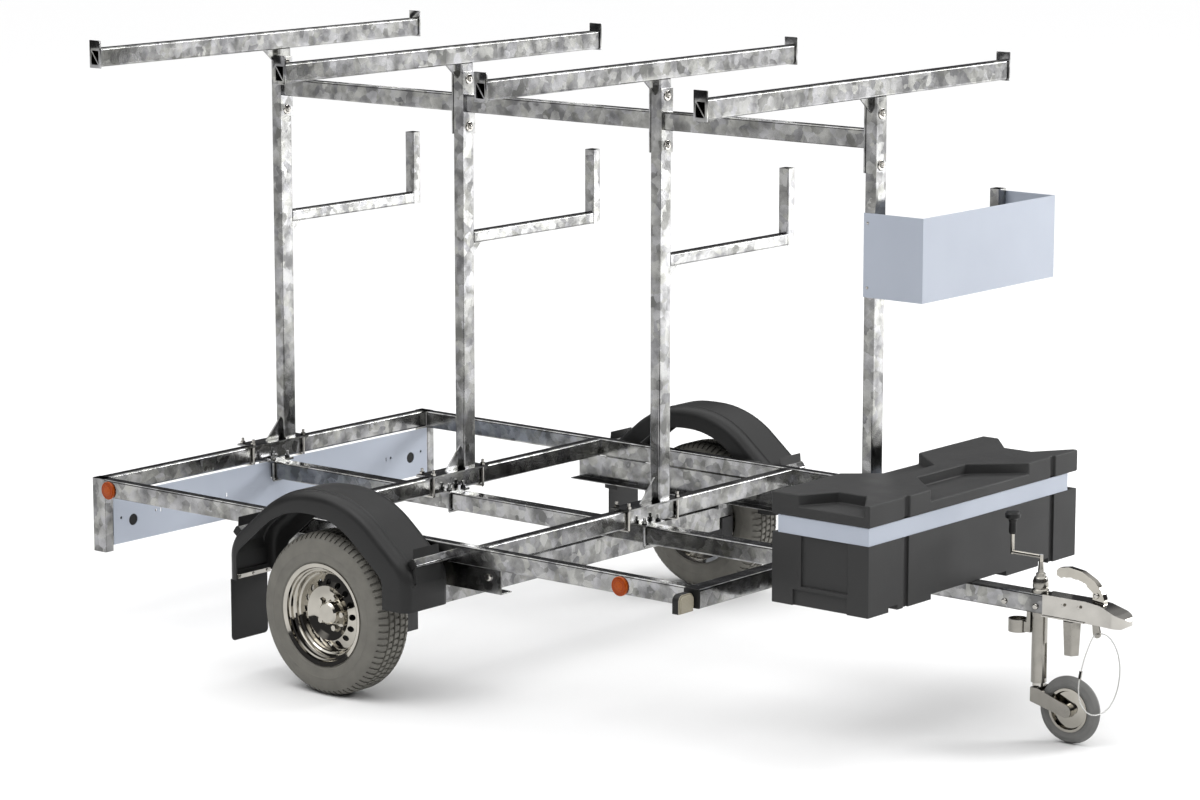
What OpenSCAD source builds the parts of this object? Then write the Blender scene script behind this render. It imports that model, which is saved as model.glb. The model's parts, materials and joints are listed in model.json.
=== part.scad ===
// Scaffolding trailer: a galvanised tube frame on one torsion axle, with four T-shaped rack posts,
// hooks for boards, a drawbar box, a jockey wheel and a ball coupling.
// Lengths are millimetres. +X is forward, +Y is left, +Z is up, and the ground is z = 0.

/* [Frame] */
// Width over the two side rails
frame_w = 1660; // [1500:10:1900]
// Height of the frame's top face over the ground
frame_top = 510; // [480:5:600]
// Height of every frame tube
tube_h = 60; // [50:1:80]
// Width of the rails and cross beams
tube_w = 40; // [36:1:60]
// Length of the front beam's section along the trailer
front_beam_w = 60; // [50:1:80]
// Wall of the frame tubes
tube_wall = 3; // [2:0.5:5]
// Corner radius of the frame tubes
tube_r = 6; // [4:0.5:9]
// Length of the rear corner legs
leg_l = 252; // [200:1:300]
// Section of the rear corner legs along the trailer
leg_w = 60; // [50:1:80]
// Width and height of the drawbar tube
drawbar_w = 60; // [56:1:80]

/* [Rack] */
// Spacing of the posts along the trailer
post_pitch = 850; // [780:5:900]
// Place of the row of posts left of the centre line
post_y = 91; // [60:1:140]
// Section of a post along the trailer
post_x = 40; // [36:1:60]
// Section of a post across the trailer
post_w = 60; // [50:1:80]
// Height of the underside of the top arms
arm_z = 1895; // [1750:5:2000]
// Length of a top arm
arm_l = 1580; // [1400:10:1800]
// Height of a top arm
arm_h = 62; // [50:1:80]
// Thickness of the arms' end plates
end_plate_t = 6; // [4:0.5:10]
// Width of the arms' end plates
end_plate_w = 50; // [44:1:70]
// How far the end plates stand over the arm
end_lip = 26; // [15:1:40]
// Height of the top of the rails between the posts
rail_z = 1793; // [1600:5:1850]
// Thickness of the rails' flange plates
flange_t = 6; // [4:0.5:10]
// Height of the rails' flange plates
flange_h = 210; // [160:5:240]
// Height of the top face of the hook arms
hook_z = 1324; // [1100:5:1500]
// Section of the hook tubes
hook_t = 40; // [30:1:50]
// Outer face of the hooks' uprights, from the centre line
hook_y = 790; // [650:5:900]
// Height of the hooks' uprights over the ground
hook_top = 1544; // [1450:5:1650]
// Thickness of the gusset plates
gusset_t = 6; // [4:0.5:10]
// Length of the clamp foot under a post
foot_l = 283; // [270:1:300]
// Thickness of the foot plates
foot_t = 6; // [4:0.5:10]
// Diameter of the clamp bolts
bolt_d = 10; // [8:1:12]

/* [Front bin] */
// Thickness of the bin's sheet
bin_t = 3; // [2:0.5:5]
// Depth of the bin in front of the last post
bin_d = 184; // [120:2:260]
// Underside of the bin
bin_z = 1272; // [1200:2:1300]
// Height of the bin's sheet
bin_h = 264; // [200:2:320]

/* [Axle and wheels] */
// Place of the wheels ahead of the frame's rear end
wheel_x = 1251; // [1150:1:1400]
// Outer diameter of the tyres
tyre_d = 522; // [490:2:560]
// Width of the tyres
tyre_w = 155; // [135:1:185]
// Diameter over the rims' flanges
rim_d = 330; // [310:1:350]
// Gap between a side rail and the tyre beside it
wheel_gap = 50.5; // [45:0.5:70]
// Length of the trailing arms along the trailer
swing_x = 145; // [120:1:170]
// Rise of the axle tube over the wheel centre
swing_z = 38; // [20:1:60]
// Section of the axle tube
axle_t = 80; // [60:1:90]
// How far the axle carriers reach past the cross beams
carrier_over = 74.5; // [40:0.5:120]
// Height of the axle carriers
carrier_h = 87; // [60:1:95]
// Width of the axle carriers' lower flange
carrier_w = 52; // [40:1:70]
// Thickness of the axle carriers
carrier_t = 4; // [3:0.5:6]

/* [Mudguards] */
// Clearance of the mudguards ahead of and behind the tyres
guard_clear = 125; // [90:1:150]
// Clearance of the mudguards over the tyres
guard_rise = 131; // [100:1:150]
// Half length of the mudguards' flat top
guard_flat = 140; // [100:1:160]
// Width of the mudguards
guard_w = 204; // [190:1:230]
// Thickness of the mudguards
guard_t = 5; // [4:0.5:8]
// Depth of the mudguards' side walls
guard_lip = 70; // [40:1:80]
// Radius of the mudguards' shoulders
guard_shoulder = 30; // [15:1:40]
// Height of the mudguards' lower ends over the ground
guard_end_z = 322; // [280:1:360]
// Length of the mud flaps
flap_l = 205; // [140:1:220]
// Section of the mudguard support tubes
support_t = 30; // [25:1:35]
// Angle of the support tubes on the mudguards' lower bend, over the level
support_angle = 36; // [20:1:48]

/* [Lights] */
// Height of the light board
board_h = 172; // [140:1:190]
// Thickness of the light board's sheet
board_t = 3; // [2:0.5:5]
// Diameter of the side reflectors
reflector_d = 60; // [50:1:80]

/* [Drawbar box] */
// Gap between the front beam and the box
box_gap = 61; // [50:1:110]
// Depth of the box along the trailer
box_d = 355; // [300:1:420]
// Width of the box across the trailer
box_w = 1120; // [900:5:1300]
// Height of the box body over its feet
box_h = 216; // [180:1:280]
// Wall of the box
box_wall = 14; // [10:1:20]
// Height of the box's feet
box_foot = 16; // [6:1:20]
// Height of the metal collar between body and lid
collar_h = 55; // [30:1:60]
// Height of the lid with its raised corners
lid_h = 68; // [50:1:90]
// Height of the lid's low panels
lid_base = 33; // [24:1:45]
// Depth of the grooves and panels in the box's walls
box_groove = 8; // [4:0.5:10]

/* [Jockey wheel] */
// Distance of the jockey stem behind the drawbar's end
jockey_back = 27; // [26:1:60]
// Outer diameter of the jockey tube
jockey_d = 48; // [42:1:50]
// Diameter of the sliding inner tube
stem_d = 38; // [32:1:42]
// Diameter of the jockey wheel
jockey_wheel_d = 208; // [200:2:220]
// Width of the jockey wheel
jockey_wheel_w = 44; // [40:1:60]
// Trail of the jockey wheel ahead of its stem
jockey_trail = 115; // [110:1:130]
// Inner diameter of the spare clamp ring
clamp_d = 50; // [42:1:60]

/* [Coupling] */
// Length of the drawbar ahead of the box
nose_l = 264; // [250:1:360]
// Length of the coupling ahead of the drawbar
coupling_l = 292; // [270:1:340]
// Diameter of the tow ball that the coupling takes
ball_d = 50; // [50:0.1:50.8]

/* [Hidden] */
post_xs = [for (i = [0:3]) tube_w / 2 + i * post_pitch];
front_beam_x = post_xs[3] - post_x / 2;
box_x = front_beam_x + front_beam_w + box_gap;
drawbar_l = box_x + box_d + nose_l;
jockey_x = drawbar_l - jockey_back;
overall_l = drawbar_l + coupling_l;
foot_over = bolt_d + 8;
x_rear = -(overall_l - foot_over) / 2;
beam_z = frame_top - tube_h;
drawbar_top = beam_z;
board_w = frame_w - 2 * tube_w;
drawbar_z = drawbar_top - drawbar_w;
half_w = frame_w / 2;
seat = 0.3;
stub_d = 38;
cap_t = 4;
clamp_plate_w = 34;
wheel_z = tyre_d / 2;
track = frame_w + 2 * wheel_gap + tyre_w;
wheel_y = track / 2;
axle_x = wheel_x + swing_x;
axle_z = wheel_z + swing_z;
axle_end = half_w + 23;
axle_wall = 6;
carrier_l = post_pitch + 2 * carrier_over;
carrier_x = post_xs[1] - carrier_over;
carrier_y = half_w - tube_w;
carrier_z = beam_z - carrier_h;
guard_gap = 8;
support_l = 172;
guard_y = half_w + guard_gap + guard_w / 2;
guard_x = wheel_x - 11;
guard_half = tyre_d / 2 + guard_clear;
guard_top = tyre_d + guard_rise;
// Slope of the haunches, bends between the straights, and shift of the outer wall's opening
guard_slope = 39.6;
guard_bends = [110, 150];
guard_shift = -31;
guard_normal = 90 - guard_slope;
guard_reach = guard_flat * cos(guard_normal) + guard_top * sin(guard_normal);
low_x = guard_half - guard_bends[0];
low_bend = [low_x, (guard_reach - guard_bends[0] - low_x * cos(guard_normal)) / sin(guard_normal)];
high_z = guard_top - guard_bends[1];
high_bend = [(guard_reach - guard_bends[1] - high_z * sin(guard_normal)) / cos(guard_normal), high_z];
post_z = frame_top + foot_t;
foot_y = 24;
foot_bolt_y = foot_l / 2 - 16;
box_z = drawbar_top - box_foot;
body_top = box_z + box_h;
collar_t = 3;
lid_over = 2;
// Insets of the collar from the box: rear, right, front and left
collar_in = [20, 2, 2, 48];
// Vertical grooves of the box's front wall, from its right end
groove_w = 26;
groove_ys = [192, box_w - 140];
lid_z = body_top + collar_h + seat;
jockey_tube_z = 172;
dome_h = 93;
rod_z = drawbar_top + dome_h;
rod_h = 17;
crank_l = 104;
fork_t = 5;
fork_top = 160;
fork_gap = 5;
fork_y = jockey_wheel_w / 2 + fork_gap;
head_r = 40;
channel_w = 62;
galvanised = [0.62, 0.63, 0.66];
sheet_grey = [0.74, 0.77, 0.83];
black_plastic = [0.17, 0.17, 0.17];
box_grey = [0.26, 0.26, 0.26];
tyre_grey = [0.36, 0.35, 0.33];
chrome = [0.78, 0.75, 0.70];
amber = [0.75, 0.30, 0.08];

eye_t = 6;
eye_x = drawbar_l + 176;
eye_drop = -38;
cable_d = 4;
// Cable loop of the breakaway line: steps from the eye, forward, left and up
cable_loop = [[0, -3.3, 0], [3, -24, -4], [6, -46, -18], [8, -68, -42], [9, -88, -72], [9, -102, -106],
    [9, -110, -140], [11, -109, -172], [15, -98, -202], [20, -77, -224], [24, -48, -237], [26, -16, -240],
    [29, 16, -234], [31, 43, -217], [33, 63, -190], [34, 75, -156], [34, 79, -122], [32, 76, -90],
    [29, 67, -60], [24, 54, -35], [16, 38, -14], [7, 20, -3], [0, 3.3, 0]];

$fn = 48;

// Rounded rectangle, centred, with exact corner arcs
module rounded(w, h, r) {
    square([w - 2 * r, h], center = true);
    square([w, h - 2 * r], center = true);
    for (sx = [-1, 1], sy = [-1, 1])
        translate([sx * (w / 2 - r), sy * (h / 2 - r)])
            circle(r);
}

// Section of a square or rectangular hollow tube
module tube_section(w, h, r = tube_r, wall = tube_wall) {
    difference() {
        rounded(w, h, r);
        rounded(w - 2 * wall, h - 2 * wall, r - wall);
    }
}

// Tube along X, centred on y = 0 and z = 0, from x = 0
module tube_along_x(l, w, h) {
    rotate([90, 0, 90])
        linear_extrude(l)
            tube_section(w, h);
}

// Tube along Y from y = 0
module tube_along_y(l, w, h) {
    rotate([90, 0, 180])
        linear_extrude(l)
            tube_section(w, h);
}

// Tube along Z from z = 0
module tube_along_z(l, w, h) {
    linear_extrude(l)
        tube_section(w, h);
}

// Child moved to a place given from the frame's rear end
module at(x, y, z) {
    translate([x_rear + x, y, z])
        children();
}

// Child and its mirror image on the other side of the trailer
module both_sides() {
    children();
    mirror([0, 1, 0])
        children();
}

module side_rail() {
    color(galvanised)
        at(leg_w, -half_w + tube_w / 2, beam_z + tube_h / 2)
            tube_along_x(front_beam_x - leg_w, tube_w, tube_h);
}

module cross_beam(i) {
    color(galvanised)
        at(post_xs[i], -half_w + tube_w, beam_z + tube_h / 2)
            tube_along_y(frame_w - 2 * tube_w, tube_w, tube_h);
}

module front_beam() {
    color(galvanised)
        at(front_beam_x + front_beam_w / 2, -half_w, beam_z + tube_h / 2)
            tube_along_y(frame_w, front_beam_w, tube_h);
}

// Plastic caps in the ends of the front beam and of the mudguard supports
module beam_caps() {
    color(black_plastic)
        both_sides() {
            at(front_beam_x + front_beam_w / 2, -half_w - cap_t, beam_z + tube_h / 2)
                rotate([90, 0, 180])
                    linear_extrude(cap_t)
                        rounded(front_beam_w - 1, tube_h - 1, tube_r);
            for (s = [-1, 1])
                support_at(s, -half_w - support_l - cap_t)
                    rotate([90, 0, 180])
                        linear_extrude(cap_t)
                            rounded(support_t - 1, support_t - 1, tube_r);
        }
}

module rear_legs() {
    color(galvanised)
        both_sides()
            at(leg_w / 2, -half_w + tube_w / 2, frame_top - leg_l)
                tube_along_z(leg_l, leg_w, tube_w);
}

module drawbar() {
    color(galvanised)
        difference() {
            at(0, 0, drawbar_z + drawbar_w / 2)
                tube_along_x(drawbar_l, drawbar_w, drawbar_w);
            at(jockey_x, 0, drawbar_z - 1)
                cylinder(d = jockey_d + 2 * seat, h = drawbar_w + 2);
        }
}

// U-bolt round the drawbar: two legs, a bottom bar and the nuts on its plate
module drawbar_clamp() {
    leg_y = drawbar_w / 2 + bolt_d / 2 + seat;
    plate_t = 8;
    leg_top = drawbar_top + plate_t + 22;
    leg_bottom = drawbar_z - bolt_d / 2 - seat;
    for (s = [-1, 1]) {
        translate([0, s * leg_y, leg_bottom])
            cylinder(d = bolt_d, h = leg_top - leg_bottom);
        translate([0, s * leg_y, drawbar_top + plate_t])
            cylinder(d = 19, h = 9, $fn = 6);
    }
    translate([0, -leg_y, leg_bottom])
        rotate([-90, 0, 0])
            cylinder(d = bolt_d, h = 2 * leg_y);
    translate([-clamp_plate_w / 2, -leg_y - 14, drawbar_top])
        cube([clamp_plate_w, 2 * leg_y + 28, plate_t]);
}

module drawbar_clamps() {
    clamp_gap = (tube_w + clamp_plate_w) / 2;
    color(galvanised) {
        for (i = [0:2])
            at(post_xs[i] + clamp_gap + (i == 0 ? leg_w - tube_w : 0), 0, 0)
                drawbar_clamp();
        at(front_beam_x - clamp_plate_w / 2, 0, 0)
            drawbar_clamp();
    }
}

module light_board() {
    fold = 22;
    hole_z = beam_z - 99;
    hole_y = board_w / 2 - 91;
    slot_ys = [250, board_w / 2 - 222];
    slot = [6, 14];
    color(sheet_grey)
        difference() {
            union() {
                at(leg_w - board_t, -board_w / 2, beam_z - board_h)
                    cube([board_t, board_w, board_h]);
                at(leg_w - fold, -board_w / 2, beam_z - board_h)
                    cube([fold, board_w, board_t]);
            }
            at(0, -drawbar_w / 2 - 1, drawbar_z - 1)
                cube([leg_w + 1, drawbar_w + 2, drawbar_w + 2]);
            for (s = [-1, 1]) {
                at(0, s * hole_y, hole_z)
                    rotate([0, 90, 0])
                        cylinder(d = 40, h = leg_w + 1);
                for (dy = [-107, 56])
                    at(0, s * (hole_y + dy), hole_z + 15)
                        rotate([0, 90, 0])
                            cylinder(d = 10, h = leg_w + 1);
                for (y = slot_ys)
                    at(0, s * y - slot[0] / 2, hole_z + 6)
                        cube([leg_w + 1, slot[0], slot[1]]);
            }
        }
}

// Rear lamp clusters: a rounded housing with a raised lens for each of the three lights
module rear_lamps() {
    lamp_w = 180;
    lamp_h = 96;
    lamp_t = 34;
    lens_t = 6;
    lamp_y = board_w / 2 - 20 - lamp_w / 2;
    lamp_z = beam_z - board_h + 20 + lamp_h / 2;
    color([0.62, 0.07, 0.06])
        both_sides()
            at(leg_w - board_t, -lamp_y, lamp_z)
                rotate([90, 0, -90]) {
                    linear_extrude(lamp_t)
                        rounded(lamp_w, lamp_h, 14);
                    for (i = [-1:1])
                        translate([i * (lamp_w - 12) / 3, 0, lamp_t])
                            linear_extrude(lens_t)
                                rounded((lamp_w - 30) / 3, lamp_h - 16, 8);
                }
}

module side_reflectors() {
    rim_t = 6;
    dome_t = 10;
    r = reflector_d / 2;
    color(amber)
        both_sides()
            for (x = [leg_w + 22, front_beam_x - 265])
                at(x, -half_w, beam_z + 25)
                    rotate([90, 0, 0])
                        rotate_extrude()
                            polygon([[0, 0], [r, 0], [r, rim_t], [r - 4, rim_t], [r - 5, dome_t - 2],
                                [0, dome_t]]);
}

// Front marker lamps: a round-topped housing beside the beam's end cap with a lens on its front
module front_lamps() {
    lamp_x = 26;
    lens_t = 6;
    lamp_w = 70;
    lamp_h = 58;
    dome = 20;
    color([0.75, 0.72, 0.62])
        both_sides()
            at(front_beam_x + 12, -half_w - cap_t - lamp_w / 2, beam_z - 8 + lamp_h / 2)
                rotate([90, 0, 90]) {
                    linear_extrude(lamp_x) {
                        rounded(lamp_w, lamp_h, dome);
                        translate([-lamp_w / 2, -lamp_h / 2])
                            square([lamp_w, lamp_h / 2]);
                    }
                    translate([0, 0, lamp_x])
                        linear_extrude(lens_t)
                            rounded(lamp_w - 10, lamp_h - 10, dome - 5);
                }
}

// L-shaped plates under the cross beams' ends, which carry the axle
module axle_carriers() {
    color(galvanised)
        both_sides()
            at(carrier_x, -carrier_y, carrier_z) {
                cube([carrier_l, carrier_t, carrier_h]);
                cube([carrier_l, carrier_w, carrier_t]);
            }
}

// Side of the axle tube's outline, with its lower corner cut off, grown by a gap
module axle_outline(gap) {
    cut = [71, 39];
    low = axle_t / 2 + gap;
    polygon([[0, -low], [axle_end - cut[0] - gap, -low], [axle_end, -low + cut[1]], [axle_end, low],
        [0, low]]);
}

module axle_half(gap) {
    at(axle_x - axle_t / 2 - gap, 0, axle_z)
        rotate([90, 0, 90])
            linear_extrude(axle_t + 2 * gap)
                mirror([1, 0])
                    axle_outline(gap);
}

module axle_tube() {
    bracket_l = 130;
    bracket_w = 44;
    bracket_h = carrier_z - axle_z - axle_t / 2;
    inner = axle_t - 2 * axle_wall;
    color(galvanised) {
        difference() {
            both_sides()
                axle_half(0);
            at(axle_x - inner / 2, -axle_end - 1, axle_z - inner / 2)
                cube([inner, 2 * axle_end + 2, inner]);
        }
        for (s = [-1, 1])
            at(axle_x - bracket_l / 2, s * (carrier_y - carrier_t - 2 - bracket_w / 2) - bracket_w / 2,
                    axle_z + axle_t / 2)
                cube([bracket_l, bracket_w, bracket_h]);
    }
}

// Trailing arm: a forged head under the axle tube's cut end, a hub boss and the stub that carries the wheel
module swing_arm() {
    arm_t = 60;
    inner_y = axle_end - 68;
    stub_l = wheel_y - inner_y - arm_t + 26;
    hub_r = 44;
    head = [107, 100];
    difference() {
        at(wheel_x, -inner_y, wheel_z)
            rotate([90, 0, 0]) {
                linear_extrude(arm_t) {
                    circle(hub_r);
                    translate([swing_x + 47 - head[0], swing_z - head[1]])
                        square(head);
                    polygon([[0, -hub_r], [swing_x + 47 - head[0], swing_z - head[1]],
                        [swing_x + 47 - head[0], swing_z], [0, hub_r]]);
                }
                translate([0, 0, arm_t])
                    cylinder(d = stub_d, h = stub_l);
            }
        axle_half(seat);
    }
}

module swing_arms() {
    color([0.2, 0.2, 0.21])
        both_sides()
            swing_arm();
}

// Tyre about the Y axis, centred on its mid plane
module tyre() {
    r = tyre_d / 2;
    bead = rim_d / 2 - 8;
    half = tyre_w / 2;
    rotate([90, 0, 0])
        rotate_extrude($fn = 72)
            polygon([[bead, -half + 16], [bead + 16, -half + 8], [r - 48, -half], [r - 22, -half + 6],
                [r - 4, -half + 26], [r, -half + 40], [r, half - 40], [r - 4, half - 26], [r - 22, half - 6],
                [r - 48, half], [bead + 16, half - 8], [bead, half - 16], [bead, half - 30],
                [bead, -half + 30]]);
}

// Steel rim about the Y axis: flanges, bead seats and well, dished disc with round holes, hub and cap
module rim() {
    r = rim_d / 2;
    half = tyre_w / 2;
    bead = r - 8 - seat;
    inner = bead - 5;
    well = bead - 16;
    stub_r = stub_d / 2 + 0.05;
    hole_n = 16;
    nut_n = 5;
    difference() {
        rotate([90, 0, 0])
            rotate_extrude($fn = 72)
                polygon([[r, half - 10.7], [bead, half - 15.2], [bead, half - 31], [well, half - 39],
                    [well, -half + 39], [bead, -half + 31], [bead, -half + 15.2], [r, -half + 10.7],
                    [r, -half + 6], [inner, -half + 10], [inner, -half + 29], [well - 5, -half + 37],
                    [well - 5, 14], [112, 22], [88, 34], [62, 20], [38, 14], [38, -38], [stub_r, -38],
                    [stub_r, 30], [0, 30], [0, 46], [30, 46], [36, 40], [36, 20], [62, 26], [88, 40],
                    [112, 28], [well - 5, 20], [well - 5, half - 37], [inner, half - 29], [inner, half - 10],
                    [r, half - 6]]);
        for (i = [0:hole_n - 1])
            rotate([0, i * 360 / hole_n, 0])
                translate([100, 0, 0])
                    rotate([90, 0, 0])
                        cylinder(d = 20, h = tyre_w, center = true, $fn = 24);
    }
    for (i = [0:nut_n - 1])
        rotate([0, i * 360 / nut_n, 0])
            translate([50, -15, 0])
                rotate([90, 0, 0])
                    cylinder(d = 19, h = 18, $fn = 6);
}

module wheel_right_at() {
    at(wheel_x, -wheel_y, wheel_z)
        children();
}

// Points of an arc about a centre, from angle a to angle b
function arc(c, r, a, b, n = 6) = [for (i = [0:n]) let (w = a + (b - a) * i / n) c + r * [cos(w), sin(w)]];

// Half of a mudguard's side outline, set in by a distance: upright end, sloping haunch and flat top,
// with bends between them. x is from the mudguard's middle and y is the height over the ground.
function guard_edge(inset) =
    concat([[guard_half - inset, 0]], arc(low_bend, guard_bends[0] - inset, 0, guard_normal),
        arc(high_bend, guard_bends[1] - inset, guard_normal, 90));

module guard_outline(inset) {
    half = guard_edge(inset);
    n = len(half);
    polygon(concat(half, [for (i = [1:n]) [-half[n - i][0], half[n - i][1]]]));
}

// Solid of the mudguard's outside, or of its inside when set in by the sheet, with rounded shoulders
module guard_form(inset) {
    r = guard_shoulder - inset;
    hull()
        for (s = [-1, 1], a = [0:22.5:90])
            translate([0, 0, s * (guard_w / 2 - guard_shoulder + r * sin(a)) - 0.005])
                linear_extrude(0.01)
                    guard_outline(inset + r * (1 - cos(a)));
}

// Mudguard over the right wheel: a moulded arch with a wall on each side, open below
module mudguard() {
    at(guard_x, -guard_y, 0)
        rotate([90, 0, 0])
            difference() {
                guard_form(0);
                guard_form(guard_t);
                linear_extrude(guard_w)
                    translate([guard_shift, 0])
                        guard_outline(guard_lip);
                translate([0, 0, -guard_w])
                    linear_extrude(guard_w)
                        guard_outline(guard_lip);
                translate([-guard_half - 1, -1, -guard_w])
                    cube([2 * guard_half + 2, guard_end_z + 1, 2 * guard_w]);
            }
}

// Mud flaps: a sheet under each mudguard's rear end with a narrower tab that is held inside it
module mud_flaps() {
    flap_t = 4;
    flap_w = 164;
    corner = 15;
    grip = 24;
    edge = guard_t + 1;
    tab_edge = guard_shoulder + 2;
    tab_gap = 1;
    color(black_plastic)
        both_sides()
            at(guard_x - guard_half + guard_t + seat, -guard_y - guard_w / 2, guard_end_z - flap_l)
                rotate([90, 0, 90])
                    linear_extrude(flap_t) {
                        translate([edge + flap_w / 2, (flap_l - tab_gap) / 2])
                            rounded(flap_w, flap_l - tab_gap, corner);
                        translate([edge, flap_l / 2])
                            square([flap_w, flap_l / 2 - tab_gap]);
                        translate([tab_edge, flap_l / 2])
                            square([edge + flap_w - tab_edge, flap_l / 2 + grip]);
                    }
}

// Child placed on the front (1) or rear (-1) lower bend of the right mudguard, lying on its surface
module support_at(s, y) {
    r = guard_bends[0] + support_t / 2 + seat;
    at(guard_x + s * (low_bend[0] + r * cos(support_angle)), y, low_bend[1] + r * sin(support_angle))
        rotate([0, s * (90 - support_angle), 0])
            children();
}

module guard_supports() {
    color(galvanised)
        both_sides()
            for (s = [-1, 1])
                support_at(s, -half_w - support_l)
                    tube_along_y(support_l, support_t, support_t);
}

module post(i) {
    color(galvanised)
        at(post_xs[i], post_y, post_z)
            tube_along_z(arm_z - post_z, post_x, post_w);
}

module arm(i) {
    color(galvanised)
        at(post_xs[i], -arm_l / 2 + end_plate_t, arm_z + arm_h / 2)
            tube_along_y(arm_l - 2 * end_plate_t, post_x, arm_h);
}

// Plates on the arms' ends with a raised lip and two triangular drain holes
module arm_end_plates() {
    below = 4;
    edge = 8;
    bar = 7;
    vent_w = end_plate_w - 2 * edge;
    vent_h = arm_h - 2 * edge;
    color(galvanised)
        both_sides()
            for (x = post_xs)
                at(x, -arm_l / 2 + end_plate_t, arm_z)
                    rotate([90, 0, 0])
                        linear_extrude(end_plate_t)
                            difference() {
                                translate([-end_plate_w / 2, -below])
                                    square([end_plate_w, arm_h + end_lip + below]);
                                translate([0, arm_h / 2])
                                    for (s = [-1, 1])
                                        polygon(s / 2 * [[-vent_w, -vent_h + bar], [-vent_w, vent_h],
                                            [vent_w - bar, vent_h]]);
                            }
}

module top_rails() {
    color(galvanised)
        for (i = [0:2])
            at(post_xs[i] + post_x / 2 + flange_t, post_y, rail_z - tube_h / 2)
                tube_along_x(post_pitch - post_x - 2 * flange_t, tube_w, tube_h);
}

module rail_flanges() {
    color(galvanised)
        for (i = [0:2], x = [post_xs[i] + post_x / 2, post_xs[i + 1] - post_x / 2 - flange_t])
            at(x, post_y - post_w / 2, rail_z - tube_h / 2 - flange_h / 2)
                cube([flange_t, post_w, flange_h]);
}

module hook_arms() {
    inner = post_y + post_w / 2;
    color(galvanised)
        for (x = post_xs)
            at(x, inner, hook_z - hook_t / 2)
                tube_along_y(hook_y - hook_t - inner, hook_t, hook_t);
}

module hook_uprights() {
    color(galvanised)
        for (x = post_xs)
            at(x, hook_y - hook_t / 2, hook_z - hook_t)
                tube_along_z(hook_top - hook_z + hook_t, hook_t, hook_t);
}

// Triangular plate in the YZ plane: legs w along y and h along z
module gusset(w, h) {
    translate([-gusset_t / 2, 0, 0])
        rotate([90, 0, 90])
            linear_extrude(gusset_t)
                polygon([[0, 0], [w, 0], [0, h]]);
}

module gussets() {
    near = post_y - post_w / 2;
    far = post_y + post_w / 2;
    base = [-75, 78];
    top = [-60, -50];
    hook = [56, -50];
    color(galvanised)
        for (x = post_xs) {
            at(x, near, post_z)
                gusset(base[0], base[1]);
            at(x, near, arm_z)
                gusset(top[0], top[1]);
            at(x, far, hook_z - hook_t)
                gusset(hook[0], hook[1]);
        }
}

// Width and middle of the beam that carries a post
function carrier_beam_w(i) = i < 3 ? tube_w : front_beam_w;

function carrier_beam_x(i) = i < 3 ? post_xs[i] : front_beam_x + front_beam_w / 2;

function foot_bolt_x(i) = carrier_beam_w(i) / 2 + bolt_d / 2 + 1;

module post_feet() {
    color(galvanised)
        for (i = [0:3]) {
            plate_x = carrier_beam_w(i) + 2 * foot_over;
            at(carrier_beam_x(i), foot_y, frame_top)
                difference() {
                    translate([-plate_x / 2, -foot_l / 2, 0])
                        cube([plate_x, foot_l, foot_t]);
                    for (sx = [-1, 1], sy = [-1, 1])
                        translate([sx * foot_bolt_x(i), sy * foot_bolt_y, -1])
                            cylinder(d = bolt_d + 2 * seat, h = foot_t + 2);
                }
        }
}

// U-bolts round the beam at both ends of a post's foot
module foot_bolts() {
    low = beam_z - bolt_d / 2 - seat;
    high = frame_top + foot_t + 20;
    color(chrome)
        for (i = [0:3], s = [-1, 1])
            at(carrier_beam_x(i), foot_y + s * foot_bolt_y, 0) {
                for (sx = [-1, 1]) {
                    translate([sx * foot_bolt_x(i), 0, low])
                        cylinder(d = bolt_d, h = high - low);
                    translate([sx * foot_bolt_x(i), 0, frame_top + foot_t])
                        cylinder(d = 18, h = 9, $fn = 6);
                }
                translate([-foot_bolt_x(i), 0, low])
                    rotate([0, 90, 0])
                        cylinder(d = bolt_d, h = 2 * foot_bolt_x(i));
            }
}

module front_bin() {
    rear = post_xs[3] - post_x / 2;
    length = post_x + bin_d;
    near = post_y - post_w / 2 - bin_t;
    color(sheet_grey)
        at(rear, near, bin_z)
            difference() {
                cube([length, hook_y + bin_t - near, bin_h]);
                translate([-1, bin_t, -1])
                    cube([length - bin_t + 1, hook_y - near - bin_t, bin_h + 2]);
            }
}

// Vertical grooves in the front wall, cut as deep as the walls' panels
module front_grooves(h) {
    for (y = groove_ys)
        translate([box_d - box_groove, y - groove_w / 2, -1])
            cube([box_groove + 10, groove_w, h + 2]);
}

// Moulded box: feet under its corners and beside the drawbar, a panel and a hand hold in each end wall
module box_body() {
    // Gaps between the feet across the trailer, from the right end: from and to
    foot_gaps = [[105, 150], [325, box_w - 390], [box_w - 210, box_w - 155]];
    // Recesses of an end wall along the trailer: from, to, lowest and highest
    recesses = [[108, box_d - 75, 61, box_h + 1], [78, box_d - 78, -1, 50]];
    color(box_grey)
        at(box_x, -box_w / 2, box_z)
            difference() {
                cube([box_d, box_w, box_h]);
                translate([box_wall, box_wall, box_foot + box_wall])
                    cube([box_d - 2 * box_wall, box_w - 2 * box_wall, box_h]);
                for (g = foot_gaps)
                    translate([-1, g[0], -1])
                        cube([box_d + 2, g[1] - g[0], box_foot + 1]);
                for (y = [-1, box_w - box_groove], r = recesses)
                    translate([r[0], y, r[2]])
                        cube([r[1] - r[0], box_groove + 1, r[3] - r[2]]);
                front_grooves(box_h);
            }
}

module box_collar() {
    l = box_d - collar_in[0] - collar_in[2];
    w = box_w - collar_in[1] - collar_in[3];
    color(sheet_grey)
        at(box_x + collar_in[0], -box_w / 2 + collar_in[1], body_top)
            difference() {
                cube([l, w, collar_h]);
                translate([collar_t, collar_t, -1])
                    cube([l - 2 * collar_t, w - 2 * collar_t, collar_h + 2]);
            }
}

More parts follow.
